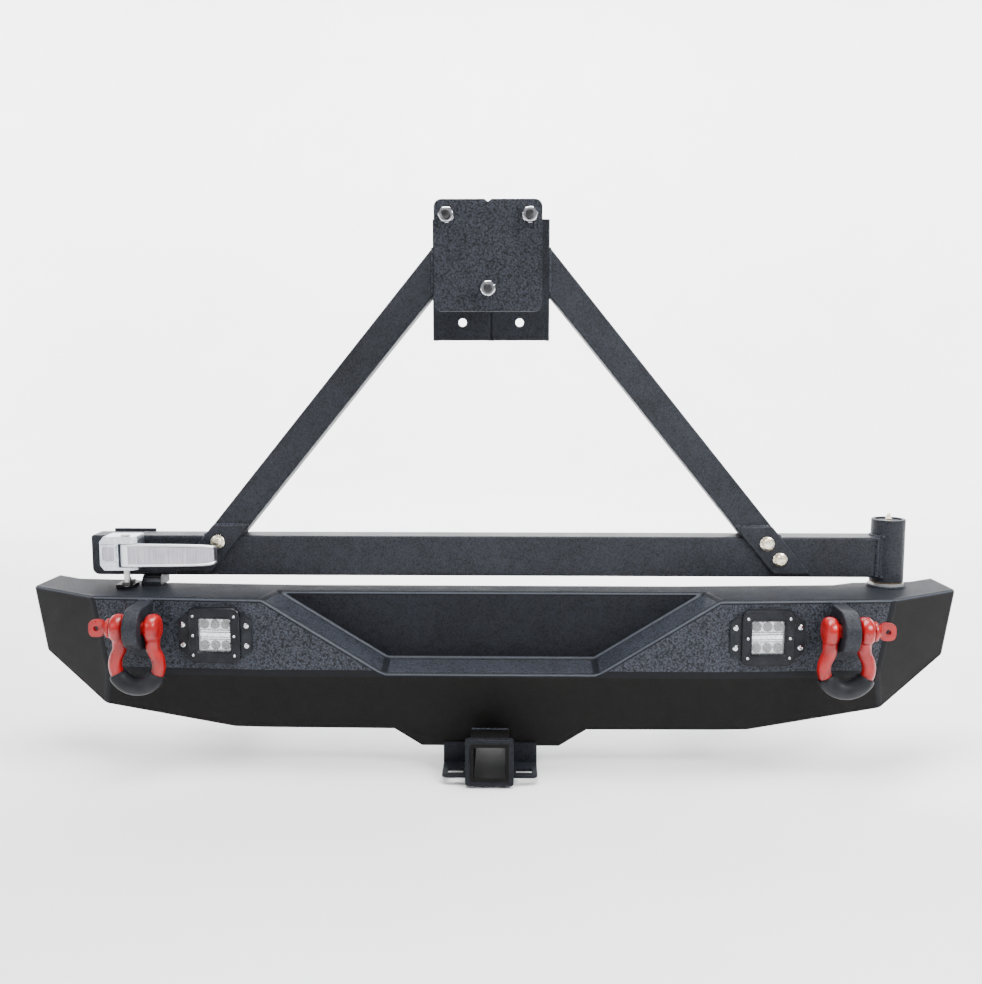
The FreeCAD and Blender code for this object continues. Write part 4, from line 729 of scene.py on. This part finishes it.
def build_light(name, side):
    """A flush light: finned pod, glossy frame, a reflector with six bowls, and a chip in each."""
    m = light_matrix(side)

    bm = bmesh.new()
    frame_ring(bm, octagon(125, 97, 65, 51), octagon(56, 57, 52, 44), -4, 0, m)
    fins = ((84, 72, 0, 38), (84, 72, 40.5, 43), (84, 72, 45.5, 50), (70, 60, 38, 45.5))
    for wide, high, near, far in fins:
        prism(bm, rounded_box(wide, high, 4, 3), near, far, m)
    outward = m.to_3x3() @ Vector((0, 1, 0))
    gland = [(6.5, 0), (6.5, 5.4), (5.2, 6.2), (5.2, 11), (4.4, 12)]
    lathe(bm, m @ (Vector((0, 49.6, -18)) * MM), outward, gland, 24)
    piece("light_pod_" + name, bm, DIECAST, BUMPER, ["light_housing_" + name], bevel=0.9)

    bm = bmesh.new()
    outline, slim = rounded_box(88, 94, 13, 6), rounded_box(85, 91, 12, 6)
    window, lip = rounded_box(60, 61, 4, 6), rounded_box(54, 55, 2, 6)
    loops = [(outline, -4), (outline, -8.4), (slim, -10), (window, -10), (lip, -6.5), (lip, -4)]
    stepped(bm, loops, m, True)
    piece("light_frame_" + name, bm, GLOSS, BUMPER, ["light_bezel_" + name], smooth=30)

    bm = bmesh.new()
    count = 32
    for column, row in LED_SPOTS:
        cell = shifted(square_ring(17.8, 18.2, count), column, row)
        bowl = [(cell, 2), (cell, 0)]
        for r, depth in ((8.3, 0), (7.9, 1.2), (7.2, 2.8), (6.0, 4.4), (4.2, 5.6), (3.4, 5.8)):
            bowl.append((shifted(circle(r, count), column, row), depth))
        layers = stepped(bm, [(loop, CUP_FACE + depth) for loop, depth in bowl], m)
        bm.faces.new(layers[-1])
        for ring in layers[2:]:
            for vert in ring:
                for face in vert.link_faces:
                    face.material_index = 1
    for z, high, proud in ((0, 6.4, 0.9), (5.9, 2.0, 0), (-5.9, 2.0, 0)):
        prism(bm, shifted(rounded_box(53, high, 0.8, 2), 0, z), CUP_FACE - proud, CUP_FACE + 3, m)
    cad_node = "light_reflector_" + name
    cups = piece("light_cups_" + name, bm, MIRROR, BUMPER, [cad_node], smooth=25)
    cups.data.materials.append(FACETS)

    bm = bmesh.new()
    for column, row in LED_SPOTS:
        prism(bm, shifted(rounded_box(3.6, 3.6, 0.5, 2), column, row), CUP_FACE + 4.6, CUP_FACE + 6.4, m)
    piece("light_chips_" + name, bm, CHIP, BUMPER, smooth=30)


def screw(bm, matrix, x, z, depth, radius, socket):
    """A low domed head with a hexagon socket."""
    count = 24
    hexes = []
    for i in range(count):
        a = 2 * math.pi * i / count + math.pi / 4
        fold = (a % (math.pi / 3)) - math.pi / 6
        r = socket * math.cos(math.pi / 6) / math.cos(fold)
        hexes.append((r * math.cos(a), r * math.sin(a)))
    loops = []
    for r, d in ((radius, 0), (radius, -0.9), (radius * 0.93, -1.6), (radius * 0.72, -2.2)):
        loops.append((shifted(circle(r, count), x, z), depth + d))
    loops += [(shifted(hexes, x, z), depth - 2.3), (shifted(hexes, x, z), depth - 0.9)]
    layers = stepped(bm, loops, matrix)
    bm.faces.new(layers[-1])


bm = bmesh.new()
for side_name, side_sign in SIDES.items():
    build_light(side_name, side_sign)
    for a in (-1, 1):
        for b in (-1, 1):
            screw(bm, light_matrix(side_sign), 54 * a, 17 * b, -4, 4.6, 2.2)
        for b in (-1, 0, 1):
            screw(bm, light_matrix(side_sign), 35 * a, 33 * b, -10, 2.6, 1.2)
piece("light_screw_heads", bm, CHROME, BUMPER, ["light_screws"], smooth=30)


# ------------------------------------------------------------------ swing arm
def build_beam():
    """The box beam with rounded corners, its foot corner turned up at the latch end."""
    left, right, r = -698.0, 676.0, 12.0
    outline = [(right, BEAM_LOW), (right, BEAM_HIGH), (left, BEAM_HIGH)]
    for i in range(6):
        a = math.radians(180 + 90 * i / 5)
        outline.append((left + r + r * math.cos(a), BEAM_LOW + r + r * math.sin(a)))
    bm = bmesh.new()
    prism(bm, outline, ARM_FRONT, ARM_BACK, Matrix.Translation(DATUM))
    piece("beam_tube", bm, COAT_ARM, SWING, ["swing_beam"], bevel=4.0)


LEG_FOOT_X, LEG_TOP_X, LEG_TOP_Z = 498, 98, 581         # outer edge of a leg on the beam and at its top
LEG_SLOPE = (LEG_FOOT_X - LEG_TOP_X) / (LEG_TOP_Z - BEAM_HIGH)
LEG_ACROSS = 50 * math.sqrt(1 + LEG_SLOPE ** 2)         # level width of a leg 50 mm across


def leg_outer(z):
    return LEG_FOOT_X + (BEAM_HIGH - z) * LEG_SLOPE


def leg_inner(z):
    return leg_outer(z) - LEG_ACROSS


def leg_centre(z):
    return leg_outer(z) - LEG_ACROSS / 2


def build_leg(name, side):
    """A leg of the frame with the foot plate lapped over the beam, and its welds."""
    low, high, top_x = 86, LEG_TOP_Z + 2, LEG_TOP_X - 2
    shoulder = LEG_TOP_Z - LEG_ACROSS / LEG_SLOPE
    tube_outline = [(leg_outer(low), low), (top_x, high), (top_x, shoulder), (leg_inner(low), low)]
    low, high = 25, 109
    foot = [(leg_outer(low), low), (leg_outer(high), high), (leg_inner(high), high), (leg_inner(low), low)]
    bm = bmesh.new()
    for outline, front, back in ((tube_outline, ARM_FRONT, ARM_BACK), (foot, ARM_FRONT - 6, ARM_FRONT + 0.2)):
        prism(bm, [(side * x, z) for x, z in outline], front, back, Matrix.Translation(DATUM))
    piece("leg_tube_" + name, bm, COAT_ARM, SWING, ["leg_" + name], bevel=2.6)
    y, z = ARM_FRONT - 2.6, high + 0.6
    seam = line(at(side * (leg_inner(high) + 3), y, z), at(side * (leg_outer(high) - 3), y, z))
    weld("foot_seam_" + name, seam, 1.7, SWING)
    x = side * (LEG_TOP_X + 0.4)
    for tag, y in (("100", ARM_FRONT - 0.4), ("151", ARM_BACK + 0.2)):
        weld(f"leg_weld_{name}_{tag}", line(at(x, y, shoulder + 3), at(x, y, LEG_TOP_Z - 2)), 2.4, SWING)
    x, z = side * leg_outer(89), BEAM_HIGH + 0.7
    weld(f"leg_toe_{name}", line(at(x, ARM_FRONT + 5, z), at(x, ARM_BACK - 4, z)), 2.4, SWING)


build_beam()
for side_name, side_sign in SIDES.items():
    build_leg(side_name, side_sign)


def hex_head(bm, base, axis, flats, height, flange, rim, turn=0.0):
    """A flanged hexagon head or nut: conical flange, hexagon and a chamfered crown with a flat top."""
    cone = [(flange, 0), (flange, rim * 0.5), (flange * 0.93, rim * 0.8), (flats * 0.48, rim * 1.3)]
    lathe(bm, base, axis, cone, 36)
    axis = axis.normalized()
    across = axis.orthogonal().normalized()
    up = axis.cross(across)
    count, rings = 48, []
    sharp = 1.155                       # corner radius over flat radius; less cuts the corners back
    crown = [(rim * 0.4, sharp), (height - 1.9, sharp), (height - 1.3, 1.1), (height - 0.6, 1.03)]
    for level, most in crown + [(height, 0.93)]:
        ring = []
        for i in range(count):
            a = 2 * math.pi * i / count
            fold = a % (math.pi / 3) - math.pi / 6
            r = flats / 2 * min(1 / math.cos(fold), most)
            out = across * math.cos(a + turn) + up * math.sin(a + turn)
            ring.append(base + axis * (level * MM) + out * (r * MM))
        rings.append(ring)
    loft(bm, rings)


def thread(bm, base, axis, radius, length):
    """A threaded rod drawn as ridges."""
    pitch = 1.5
    profile, level = [(radius - 0.9, 0)], 0.4
    while level < length - pitch:
        profile += [(radius - 0.75, level), (radius, level + pitch * 0.5)]
        level += pitch
    profile += [(radius - 0.6, length - 0.8), (radius - 1.6, length)]
    lathe(bm, base, axis, profile, 24)


bolts, nuts = bmesh.new(), bmesh.new()
FORE, AFT, UP = Vector((0, -1, 0)), Vector((0, 1, 0)), Vector((0, 0, 1))
for side_sign in SIDES.values():
    spots = [(side_sign * leg_centre(z), z, ARM_FRONT - 6, ARM_BACK) for z in (79, 51)]
    spots += [(side_sign * 48, z, ARM_FRONT - 11, ARM_FRONT) for z in (522, 575)]
    for k, (x, z, head, nut) in enumerate(spots):           # k turns each hexagon a little differently
        hex_head(bolts, at(x, head, z), FORE, 17, 7.6, 12.4, 2.4, 0.3 + k)
        lathe(bolts, at(x, head - 7.4, z), FORE, [(6.4, 0), (6.2, 0.7), (4.6, 1.1)], 24)
        thread(bolts, at(x, nut - 6, z), AFT, 6, 20)
        hex_head(nuts, at(x, nut, z), AFT, 18, 11.5, 12.4, 2.4, 0.8 + k)
piece("bolt_heads", bolts, ZINC, SWING, ["arm_bolts"], smooth=30)
piece("bolt_nuts", nuts, ZINC, SWING, ["arm_nuts"], smooth=30)

studs, lugs = bmesh.new(), bmesh.new()
for k, degrees in enumerate((-90, 30, 150)):
    a = math.radians(degrees)
    x, z = STUD_CIRCLE * math.cos(a), STUD_CENTRE_Z + STUD_CIRCLE * math.sin(a)
    thread(studs, at(x, -139.5, z), FORE, 6, 31.5)
    lathe(studs, at(x, -129.2, z), FORE, [(7.6, 0), (8.4, 0.8), (8.4, 4.6)], 30)
    hex_head(lugs, at(x, -140, z), FORE, 20.5, 14, 10.8, 2.0, 0.4 + k)
piece("stud_threads", studs, OXIDE, SWING, ["wheel_studs"], smooth=20)
piece("lug_nut_set", lugs, CHROME, SWING, ["lug_nuts"], smooth=30)

# The hinge's top: a dished cap with a hexagon-based grease nipple
hinge = at(HINGE_X, HINGE_Y, 0)
bm = bmesh.new()
lid = [(22.2, 111.2), (22.2, 115.4), (21.4, 116.2), (14, 115.6), (8, 116.0), (5, 116.2)]
lathe(bm, hinge, UP, lid, 48)
piece("barrel_lid", bm, COAT_ARM, SWING, ["hinge_cap"], smooth=35)
bm = bmesh.new()
hex_head(bm, at(HINGE_X, HINGE_Y, 116), UP, 10, 4.6, 5.6, 0.8)
stem = [(3.4, 0), (3.0, 1.4), (2.2, 2.2), (2.2, 3.6), (3.2, 4.6), (3.2, 6.4), (2.0, 8.2), (0.8, 8.4)]
lathe(bm, at(HINGE_X, HINGE_Y, 120.5), UP, stem, 24)
piece("nipple", bm, ZINC, SWING, ["grease_nipple"], smooth=30)


def hinge_arc(radius, level, start, sweep, count):
    """Points on an arc about the hinge axis, in mm and degrees."""
    points = []
    for i in range(count + 1):
        a = math.radians(start + sweep * i / count)
        points.append(hinge + Vector((radius * math.cos(a), radius * math.sin(a), level)) * MM)
    return points


for tag, y in (("front", ARM_FRONT - 0.4), ("back", ARM_BACK + 0.4)):
    x = HINGE_X - 25.8
    weld("barrel_weld_" + tag, line(at(x, y, BEAM_LOW + 1.5), at(x, y, BEAM_HIGH - 1.5)), 2.8, SWING)
for tag, level in (("low", BEAM_LOW - 0.1), ("high", BEAM_HIGH + 0.3)):
    weld("barrel_weld_" + tag, hinge_arc(28.8, level, 118, 124, 16), 2.6, SWING, steps=3)
weld("spindle_weld", hinge_arc(30.2, 1.2, 0, 360, 36), 2.6, BUMPER, steps=3)


# ------------------------------------------------------------------ latch
def build_lever():
    """A blade bowed along its length and tapered to a grip, with bright rims round a brushed face."""
    pin, middle, lip, sunk = at(LEVER_X, LEVER_Y, 0), 61.5, 3.4, 1.5
    bm = bmesh.new()
    # along, centre line, thickness, height
    stations = [(-2, -5.5, 9.0, 39.0), (8, -5.5, 9.0, 39.4), (30, -6.2, 8.6, 39.6),
                (58, -6.4, 8.4, 39.0), (86, -5.6, 8.4, 38.4), (112, -4.4, 8.8, 37.6),
                (132, -3.4, 9.6, 36.4), (144, -1.4, 11.0, 34.6), (151, 2.0, 10.4, 32.0),
                (154, 5.6, 6.0, 29.0)]
    rings = []
    for x, y, thick, high in stations:
        half, back = high / 2, thick / 2
        section = [(-back + sunk, half - lip - 1), (-back, half - lip), (-back, half - 1), (1 - back, half),
                   (back - 1, half), (back, half - 1)]
        section += [(u, -v) for u, v in reversed(section)]
        rings.append([pin + Vector((x, y + u, middle + v)) * MM for u, v in section])
    made = loft(bm, rings)
    for low_ring, high_ring in zip(made, made[1:]):
        corners = {low_ring[0], low_ring[-1], high_ring[0], high_ring[-1]}
        for f in low_ring[0].link_faces:
            if set(f.verts) == corners:
                f.material_index = 1
    lathe(bm, pin, UP, [(9.2, 42.0), (10, 42.8), (10, 80.2), (9.2, 81)], 40)
    blade = piece("lever_blade", bm, ALLOY, LATCH, ["latch_lever"], bevel=0.5)
    blade.data.materials.append(ALLOY_FACE)


build_lever()
face = Matrix.Translation(at(-650.5, 56, 65))         # middle of the housing's front face
bm = bmesh.new()
boss = ((29, 33, 3, 0.4), (26, 30, 3, -3.2), (20.5, 24.5, 2, -3.2), (18.5, 22.5, 2, -0.6))
stepped(bm, [(rounded_box(wide, high, radius, 3), depth) for wide, high, radius, depth in boss], face)
piece("latch_boss", bm, ALLOY_CAST, SWING, smooth=25)
bm = bmesh.new()
prism(bm, rounded_box(19.8, 22.8, 2, 3), -0.2, 0.6, face)
piece("latch_panel", bm, ALLOY_FACE, SWING, smooth=25)
bm = bmesh.new()
for x in (-655, -613):
    for z in (52, 78):
        plate_back, length, radius = 156, 64, 4
        hex_head(bm, at(x, plate_back, z), AFT, 13, 5.5, 8.4, 1.3)
        lathe(bm, at(x, plate_back - length, z), AFT, [(radius, 0), (radius, length)], 20)
piece("latch_bolt_set", bm, ZINC, SWING, ["latch_bolts"], smooth=30)

# ------------------------------------------------------------------ welds of the bumper
def mirrored(name, side, start, end, radius, material=COAT):
    """A straight bumper weld whose ends are given for the right-hand side."""
    ends = [at(side * x, y, z) for x, y, z in (start, end)]
    weld(name, line(*ends), radius, BUMPER, material)


for side_name, side_sign in SIDES.items():
    for hand in (-1, 1):
        x = TAB_X + side_sign * hand * 13.2
        y = panel_y(x) - 0.6
        mirrored(f"tab_weld_{side_name}_{hand + 1}", side_sign, (x, y, -8), (x, y, -99), 2.4)
    y, x = panel_y(TAB_X) - 0.6, side_sign * 12
    mirrored(f"tab_top_{side_name}", side_sign, (TAB_X - x, y, -5.8), (TAB_X + x, y, -5.8), 2.2)
    for hand in (0, 8):
        x = 391.6 + hand * 1.1
        mirrored(f"bracket_weld_{side_name}_{hand}", side_sign, (x, 10, -4.6), (x, 110, -4.6), 2.4, COAT_LOW)
    x, y = 400.8, 231.4
    mirrored(f"flange_weld_{side_name}", side_sign, (x, y, -48), (x, y, -172), 2.4, COAT_LOW)
    x, near, far, low, high = side_sign * 391.4, 70, 120, -227, -166.8
    cross = [at(x, near, low), at(x, far, low), at(x, far, high), at(x, near, high), at(x, near, low + 1)]
    path = []
    for a, b in zip(cross, cross[1:]):
        path += line(a, b, 8)[:-1]
    weld(f"cross_weld_{side_name}", path, 2.4, BUMPER, COAT_LOW, steps=3)
    x = 32.2
    mirrored(f"tube_side_{side_name}", side_sign, (x, 23, -229), (x, 27, -256), 2.2, COAT_LOW)
    mirrored(f"chain_weld_{side_name}", side_sign, (x, 16.6, -252), (x, 16.6, -284), 2.0, COAT_LOW)
# The tube's top weld takes the bend coat, so its upper side carries a painted highlight
weld("tube_top", line(at(-31, 17.6, -226.6), at(31, 17.6, -226.6)), 2.6, BUMPER, COAT_BEND)
weld("tube_cross", line(at(-31, 69.4, -226.8), at(31, 69.4, -226.8)), 2.4, BUMPER, COAT_LOW)
collar, half, squareness = [], 32.4, 12
for i in range(41):
    a = 2 * math.pi * i / 40
    c, s = math.cos(a), math.sin(a)
    reach = half / (abs(c) ** squareness + abs(s) ** squareness) ** (1 / squareness)
    collar.append(at(c * reach, -41.6, -258.5 + s * reach))
weld("collar_weld", collar, 2.4, BUMPER, COAT_LOW, steps=4)
for tag, level in (("low", 506.5), ("high", 580.8)):
    weld("plate_weld_" + tag, line(at(-31, -133.2, level), at(31, -133.2, level)), 2.4, SWING)


# ------------------------------------------------------------------ floor, lights, camera
def build_stage():
    """A pale floor that curves up into a backdrop well behind the object."""
    m = Nodes("pale_floor", rough=0.9)
    tone = m.noise(3.0, 3.0)
    paint = m.out(m.ramp(tone, [(0.3, (0.86, 0.86, 0.865)), (0.7, (0.89, 0.89, 0.893))]))
    level, reach, radius, wall, half, steps = CAD_BOX[0].z - 0.004, 4.0, 2.0, 6.0, 12.0, 12
    rows = [(-half, level), (reach, level)]
    for i in range(1, steps + 1):
        a = math.pi / 2 * i / steps
        rows.append((reach + radius * math.sin(a), level + radius * (1 - math.cos(a))))
    rows.append((reach + radius, level + radius + wall))
    verts = [(x, y, z) for y, z in rows for x in (-half, half)]
    faces = [(2 * i, 2 * i + 1, 2 * i + 3, 2 * i + 2) for i in range(len(rows) - 1)]
    mesh = bpy.data.meshes.new("floor")
    mesh.from_pydata(verts, [], faces)
    mesh.shade_smooth()
    linked("floor", mesh, paint)


def area(name, place, target, size, power, spread=180):
    """A rectangular area light at a place in metres, facing a target, with its power in watts."""
    data = bpy.data.lights.new(name, "AREA")
    data.shape = "RECTANGLE"
    data.size, data.size_y = size
    data.energy = power
    data.spread = math.radians(spread)
    obj = bpy.data.objects.new(name, data)
    obj.location = place
    obj.rotation_euler = (Vector(target) - Vector(place)).to_track_quat("-Z", "Y").to_euler()
    bpy.context.scene.collection.objects.link(obj)


def build_world():
    """Soft light from all round, and a white sky beyond the floor."""
    world = bpy.data.worlds.new("studio")
    bpy.context.scene.world = world
    world.use_nodes = True
    nodes, links = world.node_tree.nodes, world.node_tree.links
    ambient = nodes["Background"]
    ambient.inputs["Color"].default_value = (0.93, 0.95, 1.0, 1)
    ambient.inputs["Strength"].default_value = 0.5
    sky = nodes.new("ShaderNodeBackground")
    sky.inputs["Color"].default_value = (0.97, 0.97, 0.98, 1)
    sky.inputs["Strength"].default_value = 4.0
    either = nodes.new("ShaderNodeMixShader")
    rays = nodes.new("ShaderNodeLightPath")
    links.new(rays.outputs["Is Camera Ray"], either.inputs["Fac"])
    links.new(ambient.outputs["Background"], either.inputs[1])
    links.new(sky.outputs["Background"], either.inputs[2])
    links.new(either.outputs["Shader"], nodes["World Output"].inputs["Surface"])


build_stage()
build_world()
area("overhead", (0.2, -0.3, 2.6), (0, 0, 0.1), (2.6, 1.2), 190)
area("key", (1.9, -2.0, 2.0), (0.1, 0, 0.25), (1.2, 0.9), 120)
area("fill", (-2.2, -2.2, 1.6), (-0.1, 0, 0.2), (1.2, 1.0), 30)
area("back", (0.3, 2.4, 1.9), (0, 0, 0.2), (2.4, 1.0), 70)
area("backdrop", (0, 2.6, 3.4), (0, 5.6, 0.9), (4.0, 1.0), 520)
for name, x in (("backdrop_left", -7.5), ("backdrop_right", 7.5)):
    area(name, (x, 2.0, 3.6), (x, 5.8, 1.4), (8.0, 1.2), 1300)
floor_lights = (("floor_left", -8, -1, 6, 12), ("floor_right", 8, -1, 6, 12), ("floor_rear", 0, -8, 10, 6))
for name, x, y, wide, deep in floor_lights:
    area(name, (x, y, 5), (x, y + 0.01, 0), (wide, deep), 1500, 70)

IMAGE_HIGH, FOCAL_PIXELS, SENSOR = 984, 1075, 36
camera = bpy.data.cameras.new("camera")
camera.lens = SENSOR * FOCAL_PIXELS / IMAGE_HIGH
camera.sensor_width = SENSOR
camera.clip_start, camera.clip_end = 0.05, 60
camera_object = bpy.data.objects.new("camera", camera)
camera_object.location = at(35, -1735, 392.4)
camera_object.rotation_euler = (math.radians(90 - 7), 0, math.radians(1.1))
bpy.context.scene.collection.objects.link(camera_object)
bpy.context.scene.camera = camera_object
